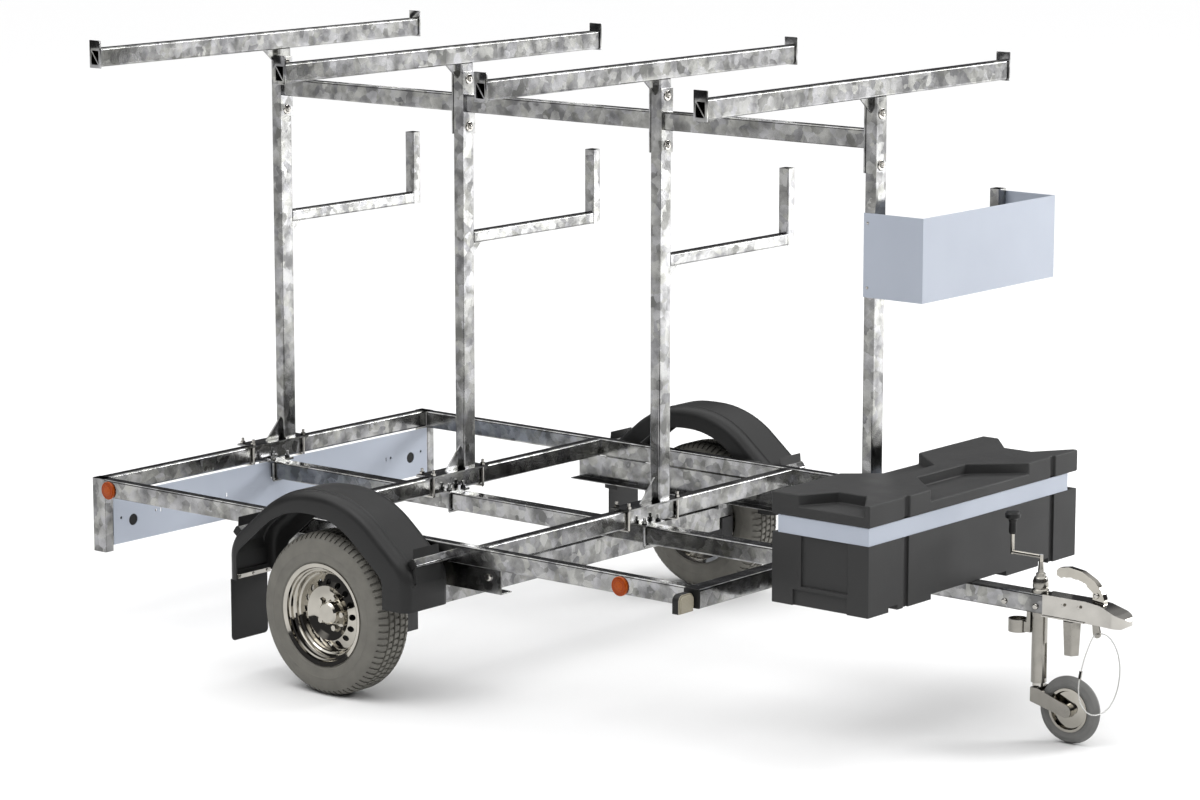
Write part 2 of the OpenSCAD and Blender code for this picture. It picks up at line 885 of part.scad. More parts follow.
// Lid: a low slab with a raised cross of ribs left between four sloping pockets
module box_lid() {
    l = box_d + 2 * lid_over;
    w = box_w + 2 * lid_over;
    floor_l = [163, 262];
    floor_w = 118;
    // Pockets: two corners of the mouth, then two corners of the floor
    pockets = [
        [[99, 0], [l - 18, 0], [floor_l[1], floor_w], [floor_l[0], floor_w]],
        [[60, w], [l - 18, w], [floor_l[1], w - floor_w], [floor_l[0], w - floor_w]],
        [[l, 316], [l, w - 278], [215, w - 416], [215, 450]],
        [[0, 345], [0, w - 360], [148, w - 488], [148, 470]]];
    color(box_grey)
        at(box_x - lid_over, -box_w / 2 - lid_over, lid_z)
            difference() {
                cube([l, w, lid_h]);
                translate([0, 0, lid_base])
                    linear_extrude(lid_h)
                        for (p = pockets)
                            polygon(p);
                translate([lid_over, lid_over, 0])
                    front_grooves(lid_h);
            }
}

module jockey_tube() {
    slot_w = 12;
    slot_h = 110;
    plug_h = 24;
    color(chrome)
        at(jockey_x, 0, 0) {
            translate([0, 0, jockey_tube_z])
                difference() {
                    cylinder(d = jockey_d, h = drawbar_top - jockey_tube_z);
                    translate([0, 0, -1])
                        cylinder(d = stem_d + 2 * seat, h = drawbar_top - plug_h - jockey_tube_z + 1);
                    translate([0, -slot_w / 2, 14])
                        cube([jockey_d, slot_w, slot_h]);
                }
            translate([0, 0, drawbar_top])
                rotate_extrude()
                    polygon([[0, 0], [26, 0], [26, 8], [22, 12], [24, 18], [24, 34], [20, 46], [15, 50],
                        [15, 58], [9, 62], [9, 68], [7, dome_h], [0, dome_h]]);
        }
}

// Clamp for a second jockey or prop tube: an open ring on an arm, held to the drawbar's underside
module jockey_clamp() {
    ring_x = jockey_x - 78;
    ring_h = 40;
    ring_z = drawbar_z - 72;
    ring_t = 5;
    arm_w = 26;
    arm_x = clamp_d / 2 + ring_t - 1.5;
    arm_l = 78 - arm_x - jockey_d / 2 - 2;
    lug_t = 14;
    color(chrome)
        at(ring_x, 0, ring_z) {
            difference() {
                cylinder(d = clamp_d + 2 * ring_t, h = ring_h);
                translate([0, 0, -1])
                    cylinder(d = clamp_d, h = ring_h + 2);
            }
            translate([arm_x, -arm_w / 2, 4])
                cube([arm_l, arm_w, ring_h - 8]);
            translate([arm_x + arm_l - lug_t, -arm_w / 2, 4])
                cube([lug_t, arm_w, drawbar_z - ring_z - 4]);
        }
}

module jockey_crank() {
    rod_d = 12;
    spindle_h = 62;
    color(chrome)
        at(jockey_x, 0, rod_z) {
            cylinder(d = rod_d, h = rod_h + rod_d / 2);
            translate([-crank_l, 0, rod_h])
                rotate([0, 90, 0])
                    cylinder(d = rod_d, h = crank_l);
            translate([-crank_l, 0, rod_h - rod_d / 2])
                cylinder(d = rod_d, h = spindle_h);
        }
}

// Mushroom grip on the crank's spindle
module crank_knob() {
    color(black_plastic)
        at(jockey_x - crank_l, 0, rod_z + rod_h + 56)
            rotate_extrude()
                polygon([[0, 0], [10, 0], [12, 8], [11, 34], [14, 44], [23, 50], [24, 56], [24, 62],
                    [19, 68], [0, 71]]);
}

module jockey_stem() {
    color(chrome)
        at(jockey_x, 0, fork_top + seat)
            cylinder(d = stem_d, h = 236);
}

// Two cheek plates from the stem down to the jockey wheel's axle, joined by a top plate
module jockey_fork() {
    axle_z = jockey_wheel_d / 2;
    back = -10;
    low = 116;
    eye_r = 20;
    pin_d = 16;
    color(chrome) {
        for (s = [-1, 1])
            at(jockey_x, s * (fork_y + fork_t / 2) + fork_t / 2, 0)
                rotate([90, 0, 0])
                    linear_extrude(fork_t) {
                        polygon([[back, fork_top], [16, fork_top], [jockey_trail + 6, axle_z + eye_r - 1],
                            [jockey_trail - 8, axle_z - eye_r + 2], [back, low]]);
                        translate([jockey_trail, axle_z])
                            circle(eye_r);
                    }
        at(jockey_x + back, -fork_y - 1, fork_top - fork_t)
            cube([22, 2 * fork_y + 2, fork_t]);
        at(jockey_x + back, -fork_y - 1, low)
            cube([fork_t, 2 * fork_y + 2, fork_top - low]);
        at(jockey_x + jockey_trail, -fork_y - fork_t, axle_z)
            rotate([-90, 0, 0])
                cylinder(d = pin_d, h = 2 * fork_y + 2 * fork_t);
    }
}

module jockey_tyre() {
    r = jockey_wheel_d / 2;
    h = jockey_wheel_w / 2;
    color(tyre_grey)
        at(jockey_x + jockey_trail, 0, r)
            rotate([90, 0, 0])
                rotate_extrude($fn = 64)
                    polygon([[68, -h + 8], [r - 22, -h], [r - 8, -h + 5], [r, -h + 20], [r, h - 20],
                        [r - 8, h - 5], [r - 22, h], [68, h - 8]]);
}

module jockey_rim() {
    h = jockey_wheel_w / 2;
    color(chrome)
        at(jockey_x + jockey_trail, 0, jockey_wheel_d / 2)
            rotate([90, 0, 0])
                rotate_extrude($fn = 64)
                    polygon([[8.05, -h - 4], [20, -h - 4], [22, -8], [56, -6], [60, -h + 6], [67.7, -h + 6],
                        [67.7, h - 6], [60, h - 6], [56, 6], [22, 8], [20, h + 4], [8.05, h + 4]]);
}

// Side of the pressed coupling: level over the drawbar's line, sloping down to a blunt nose
module coupling_side(gap) {
    polygon([[-1, gap - 5], [-1, 62 - gap], [150, 62 - gap], [205, 56 - gap], [262, 36 - gap],
        [286 - gap, 26 - gap], [coupling_l - gap, 18 - gap], [coupling_l - gap, 4], [278, gap - 5]]);
}

// Plan of the coupling: a straight channel with a round head for the ball
module coupling_plan(gap) {
    ball = coupling_l - head_r;
    translate([-2, -channel_w / 2 + gap])
        square([ball - 20, channel_w - 2 * gap]);
    translate([ball, 0])
        circle(head_r - gap);
    polygon([[ball - 60, -channel_w / 2 + gap], [ball - 8, -head_r + gap + 1], [ball - 8, head_r - gap - 1],
        [ball - 60, channel_w / 2 - gap]]);
}

module coupling_form(gap) {
    intersection() {
        translate([0, head_r, 0])
            rotate([90, 0, 0])
                linear_extrude(2 * head_r)
                    coupling_side(gap);
        translate([0, 0, -10])
            linear_extrude(100)
                coupling_plan(gap);
    }
}

module coupling_body() {
    wall = 3.5;
    ball = coupling_l - head_r;
    cavity_l = 196;
    flange = [150, 6, 4];
    color(chrome)
        at(drawbar_l, 0, drawbar_z)
            difference() {
                union() {
                    coupling_form(0);
                    translate([0, -channel_w / 2 - flange[1], -5])
                        cube([flange[0], channel_w + 2 * flange[1], flange[2]]);
                }
                translate([-2, -channel_w, -20])
                    cube([2, 2 * channel_w, 100]);
                intersection() {
                    union() {
                        coupling_form(wall);
                        translate([0, -channel_w / 2 + wall, -20])
                            cube([cavity_l, channel_w - 2 * wall, 30]);
                    }
                    translate([-1, -channel_w / 2, -20])
                        cube([cavity_l + 1, channel_w, 100]);
                }
                translate([ball, 0, -6])
                    cylinder(d = ball_d, h = 32);
            }
}

// Cast lever over the coupling with finger hollows along its underside
module coupling_handle() {
    handle_w = 22;
    hollow_r = 10;
    color(chrome)
        at(drawbar_l, handle_w / 2, drawbar_z)
            rotate([90, 0, 0])
                linear_extrude(handle_w)
                    difference() {
                        polygon([[36, 124], [36, 138], [44, 147], [78, 153], [126, 146], [168, 124],
                            [192, 100], [204, 74], [204, 56.5], [164, 60.8], [164, 88], [126, 116],
                            [80, 122], [52, 116]]);
                        for (p = [[62, 112], [86, 113], [110, 110], [133, 103]])
                            translate(p)
                                circle(hollow_r);
                    }
}

module plug_cup() {
    cup_x = drawbar_l + 88;
    color(chrome) {
        at(cup_x, 0, drawbar_z - 116)
            cylinder(r1 = 25, r2 = 31, h = 106, $fn = 6);
        at(cup_x, 0, drawbar_z - 11)
            cylinder(d = 16, h = 69);
    }
}

// Hooked plate under the coupling's sloping top that holds both ends of the breakaway cable
module eye_plate() {
    eye_r = 14;
    color(chrome)
        at(eye_x, eye_t / 2, drawbar_z)
            rotate([90, 0, 0])
                linear_extrude(eye_t)
                    polygon(concat([[-40, 8], [-40, 57], [-16, 57], [-16, 20], [-4, 2], [8, -14]],
                        arc([0, eye_drop], eye_r, 0, -180), [[-16, -16], [-30, 0]]));
}

// Unit vector and cross product helpers for the cable's rings
function unit(v) = v / norm(v);

function tangent(pts, i) =
    unit(pts[min(i + 1, len(pts) - 1)] - pts[max(i - 1, 0)]);

// Tube swept along a list of points with rings of n corners
module swept_tube(pts, d, n) {
    rings = [for (i = [0:len(pts) - 1])
        let (t = tangent(pts, i), side = [1, 0, 0], a = unit(side - (side * t) * t), b = cross(t, a))
            [for (k = [0:n - 1]) pts[i] + d / 2 * (cos(360 * k / n) * a + sin(360 * k / n) * b)]];
    last = len(pts) - 1;
    polyhedron(
        [for (ring = rings, p = ring) p],
        concat([[for (k = [0:n - 1]) n - 1 - k]],
            [for (i = [0:last - 1], k = [0:n - 1])
                [i * n + k, i * n + (k + 1) % n, (i + 1) * n + (k + 1) % n, (i + 1) * n + k]],
            [[for (k = [0:n - 1]) last * n + k]]));
}

module breakaway_cable() {
    color([0.9, 0.9, 0.9])
        at(eye_x, 0, drawbar_z + eye_drop)
            swept_tube(cable_loop, cable_d, 8);
}

side_rail();  // side_rail_right
mirror([0, 1, 0]) side_rail();  // side_rail_left
cross_beam(0);  // rear_beam
cross_beam(1);  // cross_beam_rear
cross_beam(2);  // cross_beam_front
front_beam();
beam_caps();
rear_legs();
drawbar();
drawbar_clamps();
light_board();
rear_lamps();
side_reflectors();
front_lamps();
axle_carriers();
axle_tube();
swing_arms();
color(black_plastic) mudguard();  // mudguard_right
color(black_plastic) mirror([0, 1, 0]) mudguard();  // mudguard_left
mud_flaps();
guard_supports();
for (i = [0:3])
    post(i);
for (i = [0:3])
    arm(i);
arm_end_plates();
top_rails();
rail_flanges();
hook_arms();
hook_uprights();
gussets();
post_feet();
foot_bolts();
front_bin();
box_body();
box_collar();
box_lid();
jockey_tube();
jockey_clamp();
jockey_crank();
crank_knob();
jockey_stem();
jockey_fork();
jockey_tyre();
jockey_rim();
coupling_body();
coupling_handle();
plug_cup();
eye_plate();
breakaway_cable();
color(tyre_grey) wheel_right_at() tyre();  // tyre_right
color(chrome) wheel_right_at() rim();  // rim_right
color(tyre_grey) mirror([0, 1, 0]) wheel_right_at() tyre();  // tyre_left
color(chrome) mirror([0, 1, 0]) wheel_right_at() rim();  // rim_left
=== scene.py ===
import json
import math

import bpy
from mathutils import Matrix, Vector


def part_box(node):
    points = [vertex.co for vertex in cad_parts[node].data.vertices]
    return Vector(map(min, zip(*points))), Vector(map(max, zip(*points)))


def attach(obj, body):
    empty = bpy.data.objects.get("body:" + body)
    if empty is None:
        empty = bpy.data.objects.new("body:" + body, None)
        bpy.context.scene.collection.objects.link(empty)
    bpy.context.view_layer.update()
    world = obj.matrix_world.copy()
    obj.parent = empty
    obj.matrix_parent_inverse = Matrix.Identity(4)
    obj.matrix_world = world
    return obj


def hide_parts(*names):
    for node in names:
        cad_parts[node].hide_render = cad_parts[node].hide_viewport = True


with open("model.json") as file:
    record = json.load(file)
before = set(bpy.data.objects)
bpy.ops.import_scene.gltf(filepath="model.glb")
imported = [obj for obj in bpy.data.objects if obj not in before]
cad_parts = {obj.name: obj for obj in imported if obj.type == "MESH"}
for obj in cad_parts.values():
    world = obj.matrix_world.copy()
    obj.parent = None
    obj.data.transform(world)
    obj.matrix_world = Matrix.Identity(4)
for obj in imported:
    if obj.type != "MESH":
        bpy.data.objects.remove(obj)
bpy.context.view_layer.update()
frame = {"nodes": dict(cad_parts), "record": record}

# The view: a long lens from ahead and to the right of the trailer, about a metre higher than its rack.
# The photo is 1200 pixels wide, and the lens is worked out from its focal length in pixels.
VIEW_TURN = 39.557
VIEW_DIP = 10.380
FOCAL_PIXELS = 3881.65
PHOTO_WIDTH = 1200
SENSOR_MM = 36.0
CAMERA_PLACE = (7.7227, -9.6421, 3.1284)
VIEW_REACH = 400
camera_data = bpy.data.cameras.new("photo_camera")
camera_data.sensor_width = SENSOR_MM
camera_data.lens = FOCAL_PIXELS / PHOTO_WIDTH * SENSOR_MM
camera_data.clip_end = VIEW_REACH
camera = bpy.data.objects.new("photo_camera", camera_data)
camera.location = CAMERA_PLACE
camera.rotation_euler = (math.radians(90 - VIEW_DIP), 0, math.radians(VIEW_TURN))
bpy.context.scene.collection.objects.link(camera)
bpy.context.scene.camera = camera


def linear(hex_colour):
    """Linear RGBA of an sRGB hex colour."""
    parts = [int(hex_colour[i:i + 2], 16) / 255 for i in (1, 3, 5)]
    return (*[c / 12.92 if c <= 0.04045 else ((c + 0.055) / 1.055) ** 2.4 for c in parts], 1.0)


def add_node(tree, kind, links=None, inputs=None, **settings):
    """Adds a node to a tree, sets its properties and sockets, and links its sockets to given outputs."""
    node = tree.nodes.new(kind)
    for name, value in settings.items():
        setattr(node, name, value)
    for name, value in (inputs or {}).items():
        node.inputs[name].default_value = value
    for name, output in (links or {}).items():
        tree.links.new(output, node.inputs[name])
    return node


# The studio: a wide white floor under a sky that is bright overhead and dark from the horizon to well up, as
# the walls of a photo studio are. One large soft lamp hangs overhead, and a second one brightens the floor on
# the left ahead, which the front faces mirror. Colours have no film curve, so that the floor comes out white.
bpy.context.scene.view_settings.view_transform = "Standard"
FLOOR_SIZE = 400
FLOOR_COLOUR = "#f1f1f1"
# The sky's dark and bright ends: sine of the height over the horizon, and colour
SKY_ENDS = ((0.46, (0.03, 0.03, 0.032, 1)), (0.72, (1, 1, 1, 1)))
SKY_STRENGTH = 1.75
# Lamps: place, aim, size and power
LAMPS = {"overhead_lamp": ((-1.5, -4.5, 7.0), (0, 0, 0.8), 5.0, 140),
         "front_lamp": ((6.8, 9.2, 4.5), (6.2, 8.2, 0), 5.0, 1250)}
bpy.ops.object.select_all(action="DESELECT")
bpy.ops.mesh.primitive_plane_add(size=FLOOR_SIZE)
floor = bpy.context.object
floor.name = "studio_floor"
floor_paint = bpy.data.materials.new("studio_floor_paint")
floor_paint.use_nodes = True
floor_shader = floor_paint.node_tree.nodes["Principled BSDF"]
floor_shader.inputs["Base Color"].default_value = linear(FLOOR_COLOUR)
floor_shader.inputs["Roughness"].default_value = 0.85
floor_shader.inputs["Specular IOR Level"].default_value = 0.1
floor.data.materials.append(floor_paint)
world = bpy.data.worlds.new("studio_sky")
world.use_nodes = True
bpy.context.scene.world = world
sky = world.node_tree
sky_place = add_node(sky, "ShaderNodeTexCoord")
sky_parts = add_node(sky, "ShaderNodeSeparateXYZ", {"Vector": sky_place.outputs["Generated"]})
sky_ramp = add_node(sky, "ShaderNodeValToRGB", {"Fac": sky_parts.outputs["Z"]})
for ramp_end, (end_place, end_colour) in zip(sky_ramp.color_ramp.elements, SKY_ENDS):
    ramp_end.position = end_place
    ramp_end.color = end_colour
sky.links.new(sky_ramp.outputs["Color"], sky.nodes["Background"].inputs["Color"])
sky.nodes["Background"].inputs["Strength"].default_value = SKY_STRENGTH
for lamp_name, (lamp_place, lamp_aim, lamp_size, lamp_power) in LAMPS.items():
    lamp_data = bpy.data.lights.new(lamp_name, "AREA")
    lamp_data.shape = "DISK"
    lamp_data.size = lamp_size
    lamp_data.energy = lamp_power
    lamp = bpy.data.objects.new(lamp_name, lamp_data)
    lamp.location = lamp_place
    lamp.rotation_euler = (Vector(lamp_aim) - lamp.location).to_track_quat("-Z", "Y").to_euler()
    lamp.visible_camera = False
    bpy.context.scene.collection.objects.link(lamp)

# Breakaway cable: a loop of 4 mm steel wire in a clear coat, both ends held in the hooked plate under the
# coupling, closed by a pressed sleeve. It hangs under its own weight and is stiff enough to stay round.
CABLE_MM = 4
STRAND_MM = 12
CABLE_EYE = (1.684, 0, 0.352)
# Steps from the eye in millimetres: forward, left and up
CABLE_LOOP = [(0, -3.3, 0), (3, -24, -4), (6, -46, -18), (8, -68, -42), (9, -88, -72), (9, -102, -106),
              (9, -110, -140), (11, -109, -172), (15, -98, -202), (20, -77, -224), (24, -48, -237),
              (26, -16, -240), (29, 16, -234), (31, 43, -217), (33, 63, -190), (34, 75, -156), (34, 79, -122),
              (32, 76, -90), (29, 67, -60), (24, 54, -35), (16, 38, -14), (7, 20, -3), (0, 3.3, 0)]
# The sleeve: the point of the loop that it sits on, its diameter and length, and its rounded edge in metres
SLEEVE_AT = 5
SLEEVE_MM = (10, 26)
SLEEVE_EDGE = 0.0015
# Bright zinc: size of the clouds in its gloss, the span that noise values fill, and the gloss at its two ends
STREAK_MM = 40
NOISE_SPAN = (0.3, 0.7)
ZINC_GLOSS = (0.8, 1.3)
cable_points = [Vector(CABLE_EYE) + Vector(step) / 1000 for step in CABLE_LOOP]
cable_curve = bpy.data.curves.new("breakaway_loop", "CURVE")
cable_curve.dimensions = "3D"
cable_curve.bevel_depth = CABLE_MM / 2000
cable_curve.bevel_resolution = 4
cable_curve.resolution_u = 8
cable_spline = cable_curve.splines.new("BEZIER")
cable_spline.bezier_points.add(len(cable_points) - 1)
for knot, point in zip(cable_spline.bezier_points, cable_points):
    knot.co = point
    knot.handle_left_type = knot.handle_right_type = "AUTO"
cable = bpy.data.objects.new("breakaway_loop", cable_curve)
bpy.context.scene.collection.objects.link(cable)


def new_finish(name):
    """A named material, its node tree and its shader."""
    finish = bpy.data.materials.new(name)
    finish.use_nodes = True
    return finish, finish.node_tree, finish.node_tree.nodes["Principled BSDF"]


def coated_wire():
    """Steel wire under clear plastic: a pale grey line whose strands show as a faint slanting band."""
    finish, tree, shader = new_finish("coated_wire")
    place = add_node(tree, "ShaderNodeTexCoord")
    strands = add_node(tree, "ShaderNodeTexWave", {"Vector": place.outputs["Object"]},
                       {"Scale": 1000 / STRAND_MM, "Distortion": 1.0}, bands_direction="DIAGONAL")
    tone = add_node(tree, "ShaderNodeValToRGB", {"Fac": strands.outputs["Fac"]})
    tone.color_ramp.elements[0].color = linear("#a9a9a5")
    tone.color_ramp.elements[1].color = linear("#dededc")
    tree.links.new(tone.outputs["Color"], shader.inputs["Base Color"])
    shader.inputs["Roughness"].default_value = 0.3
    return finish


def bright_zinc(name, tint, roughness):
    """Bright zinc plate on steel: a warm silver mirror with slow cloudy drift in its gloss."""
    finish, tree, shader = new_finish(name)
    place = add_node(tree, "ShaderNodeTexCoord")
    cloud = add_node(tree, "ShaderNodeTexNoise", {"Vector": place.outputs["Object"]},
                     {"Scale": 1000 / STREAK_MM, "Detail": 4.0})
    gloss = add_node(tree, "ShaderNodeMapRange", {"Value": cloud.outputs["Fac"]},
                     {"From Min": NOISE_SPAN[0], "From Max": NOISE_SPAN[1],
                      "To Min": roughness * ZINC_GLOSS[0], "To Max": roughness * ZINC_GLOSS[1]})
    tone = add_node(tree, "ShaderNodeMix", {"Factor": cloud.outputs["Fac"]},
                    data_type="RGBA", blend_type="MULTIPLY")
    tone.inputs["A"].default_value = linear(tint)
    tone.inputs["B"].default_value = linear("#d9d9d9")
    tree.links.new(tone.outputs["Result"], shader.inputs["Base Color"])
    tree.links.new(gloss.outputs["Result"], shader.inputs["Roughness"])
    shader.inputs["Metallic"].default_value = 1.0
    return finish


def round_edges(offset):
    """Rounds every edge of the active mesh."""
    bpy.ops.object.mode_set(mode="EDIT")
    bpy.ops.mesh.select_all(action="SELECT")
    bpy.ops.mesh.bevel(offset=offset, segments=2)
    bpy.ops.object.mode_set(mode="OBJECT")


cable.data.materials.append(coated_wire())
chrome_plate = bright_zinc("chrome_plate", "#bdb9b0", 0.06)
satin_zinc = bright_zinc("satin_zinc", "#a19e97", 0.22)
polished_zinc = bright_zinc("polished_zinc", "#c3c0ba", 0.09)
bpy.ops.object.select_all(action="DESELECT")
sleeve_run = (cable_points[SLEEVE_AT + 1] - cable_points[SLEEVE_AT - 1]).normalized()
bpy.ops.mesh.primitive_cylinder_add(vertices=24, radius=SLEEVE_MM[0] / 2000, depth=SLEEVE_MM[1] / 1000,
                                    location=cable_points[SLEEVE_AT],
                                    rotation=sleeve_run.to_track_quat("Z", "Y").to_euler())
sleeve = bpy.context.object
sleeve.name = "breakaway_sleeve"
round_edges(SLEEVE_EDGE)
bpy.ops.object.transform_apply(location=True, rotation=True, scale=True)
sleeve.data.materials.append(polished_zinc)
for piece in (cable, sleeve):
    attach(piece, "chassis")
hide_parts("breakaway_cable")

# Frame, drawbar and rack: welded square and flat steel, dipped in molten zinc after welding. The zinc
# freezes in broad pale and dark crystals, and the round corners of the tubes catch a thin bright line.
SPANGLE_MM = 30
SPANGLE_GLOSS = (0.13, 0.24)
CLOUD_MM = 60
CLOUD_SHARE = 0.8
FLOW_MM = 30
FLOW_REACH = 0.03
SKIN_MM = 5
# Darkest and palest zinc crystals, where they lie in the pattern, and the two tints that drift over them
ZINC_TONES = ("#707070", "#b4b4b4")
ZINC_SPAN = (0.36, 0.64)
ZINC_TINTS = ("#ededf0", "#eeeee8")
TUBE_NODES = ["side_rail_right", "side_rail_left", "rear_beam", "cross_beam_rear", "cross_beam_front",
              "front_beam", "rear_legs", "drawbar", "drawbar_clamps", "axle_tube", "guard_supports", "post_1",
              "post_2", "post_3", "post_4", "arm_1", "arm_2", "arm_3", "arm_4", "top_rails", "hook_arms",
              "hook_uprights"]
PLATE_NODES = ["arm_end_plates", "rail_flanges", "gussets", "post_feet", "axle_carriers"]
PLATE_EDGE_MM = 1.0
# How far the end plates reach to the front and rear of a post's middle, at most
PLATE_REACH = 0.05
# Copies of CAD nodes: distance at which points merge, angle in degrees under which faces count as one, and
# how many degrees more than the rounded edges' limit shade smooth
WELD = 0.00002
FLAT_ANGLE = 0.5
SMOOTH_MORE = 5


def hot_dip_zinc():
    """Hot-dip galvanised steel: blurred crystal patches of several greys, each with its own gloss."""
    finish, tree, shader = new_finish("hot_dip_zinc")
    place = add_node(tree, "ShaderNodeTexCoord")
    flow = add_node(tree, "ShaderNodeTexNoise", {"Vector": place.outputs["Object"]},
                    {"Scale": 1000 / FLOW_MM, "Detail": 6.0})
    warped = add_node(tree, "ShaderNodeVectorMath", {0: flow.outputs["Color"], 2: place.outputs["Object"]},
                      {1: (FLOW_REACH, FLOW_REACH, FLOW_REACH)}, operation="MULTIPLY_ADD")
    crystal = add_node(tree, "ShaderNodeTexVoronoi", {"Vector": warped.outputs["Vector"]},
                       {"Scale": 1000 / SPANGLE_MM}, feature="F1")
    crystal_value = add_node(tree, "ShaderNodeSeparateColor", {"Color": crystal.outputs["Color"]})
    cloud = add_node(tree, "ShaderNodeTexNoise", {"Vector": place.outputs["Object"]},
                     {"Scale": 1000 / CLOUD_MM, "Detail": 8.0})
    patch = add_node(tree, "ShaderNodeMix", {"A": crystal_value.outputs["Red"], "B": cloud.outputs["Fac"]},
                     {"Factor": CLOUD_SHARE})
    tones = add_node(tree, "ShaderNodeValToRGB", {"Fac": patch.outputs["Result"]})
    tones.color_ramp.elements[0].position = ZINC_SPAN[0]
    tones.color_ramp.elements[0].color = linear(ZINC_TONES[0])
    tones.color_ramp.elements[1].position = ZINC_SPAN[1]
    tones.color_ramp.elements[1].color = linear(ZINC_TONES[1])
    tints = add_node(tree, "ShaderNodeValToRGB", {"Fac": crystal_value.outputs["Blue"]})
    tints.color_ramp.elements[0].color = linear(ZINC_TINTS[0])
    tints.color_ramp.elements[1].color = linear(ZINC_TINTS[1])
    colour = add_node(tree, "ShaderNodeMix", {"A": tones.outputs["Color"], "B": tints.outputs["Color"]},
                      {"Factor": 1.0}, data_type="RGBA", blend_type="MULTIPLY")
    gloss = add_node(tree, "ShaderNodeMapRange", {"Value": crystal_value.outputs["Green"]},
                     {"To Min": SPANGLE_GLOSS[0], "To Max": SPANGLE_GLOSS[1]})
    skin = add_node(tree, "ShaderNodeTexNoise", {"Vector": place.outputs["Object"]},
                    {"Scale": 1000 / SKIN_MM, "Detail": 2.0})
    relief = add_node(tree, "ShaderNodeBump", {"Height": skin.outputs["Fac"]},
                      {"Strength": 0.08, "Distance": 0.0004})
    tree.links.new(colour.outputs["Result"], shader.inputs["Base Color"])
    tree.links.new(gloss.outputs["Result"], shader.inputs["Roughness"])
    tree.links.new(relief.outputs["Normal"], shader.inputs["Normal"])
    shader.inputs["Metallic"].default_value = 1.0
    return finish


def dress(node, finish):
    """Gives a CAD node that keeps its shape a finish."""
    for slot in frame["nodes"][node].material_slots:
        slot.link = "OBJECT"
        slot.material = finish


def softened(node, edge_mm, finish, segments=2, sharp=30):
    """A copy of a CAD node with merged faces and rounded edges, which stands for it and rides on its body."""
    bpy.ops.object.select_all(action="DESELECT")
    piece = bpy.data.objects.new(node + "_piece", frame["nodes"][node].data.copy())
    bpy.context.scene.collection.objects.link(piece)
    piece.select_set(True)
    bpy.context.view_layer.objects.active = piece
    bpy.ops.mesh.customdata_custom_splitnormals_clear()
    bpy.ops.object.mode_set(mode="EDIT")
    bpy.ops.mesh.select_all(action="SELECT")
    bpy.ops.mesh.remove_doubles(threshold=WELD)
    if edge_mm:
        bpy.ops.mesh.dissolve_limited(angle_limit=math.radians(FLAT_ANGLE))
    bpy.ops.object.mode_set(mode="OBJECT")
    if edge_mm:
        rounding = piece.modifiers.new("rounding", "BEVEL")
        rounding.width = edge_mm / 1000
        rounding.segments = segments
        rounding.limit_method = "ANGLE"
        rounding.angle_limit = math.radians(sharp)
        bpy.ops.object.modifier_apply(modifier="rounding")
    bpy.ops.object.shade_smooth_by_angle(angle=math.radians(sharp + SMOOTH_MORE))
    if edge_mm:
        facing = piece.modifiers.new("facing", "WEIGHTED_NORMAL")
        facing.keep_sharp = True
        bpy.ops.object.modifier_apply(modifier="facing")
    piece.data.materials.clear()
    piece.data.materials.append(finish)
    record = frame["record"]
    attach(piece, next(body for body, nodes in record["behaviour"]["bodies"].items() if node in nodes))
    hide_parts(node)
    return piece


def pick(piece, kind, wanted):
    """Goes to edit mode with only those vertices, edges or faces of a piece selected that pass a test."""
    bpy.context.view_layer.objects.active = piece
    bpy.ops.object.mode_set(mode="EDIT")
    bpy.ops.mesh.select_mode(type=kind)
    bpy.ops.mesh.select_all(action="DESELECT")
    bpy.ops.object.mode_set(mode="OBJECT")
    for part in {"VERT": piece.data.vertices, "EDGE": piece.data.edges, "FACE": piece.data.polygons}[kind]:
        part.select = wanted(part)
    bpy.ops.object.mode_set(mode="EDIT")


galvanised = hot_dip_zinc()
for node in TUBE_NODES:
    dress(node, galvanised)
plates = {node: softened(node, PLATE_EDGE_MM, galvanised) for node in PLATE_NODES}
# The end plates' slanting bars fall towards the trailer's front, so each plate is mirrored about its post
for number in (1, 2, 3, 4):
    post_low, post_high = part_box(f"post_{number}")
    post_x = (post_low.x + post_high.x) / 2
    pick(plates["arm_end_plates"], "VERT", lambda vertex: abs(vertex.co.x - post_x) < PLATE_REACH)
    bpy.ops.transform.resize(value=(-1, 1, 1), center_override=(post_x, 0, 0))
    bpy.ops.mesh.select_all(action="SELECT")
    bpy.ops.mesh.normals_make_consistent(inside=False)
    bpy.ops.object.mode_set(mode="OBJECT")

# Sheet parts: the rear light board and the bin at the rack's front, bent from thin sheet and powder
# coated in a pale satin blue grey, with faint waviness where the sheet was rolled.
SHEET_WAVE_MM = 260
SHEET_GRAIN_MM = 3
# Sheet parts and the radius of their edges in millimetres
SHEET_EDGES = {"light_board": 0.8, "front_bin": 1.2}


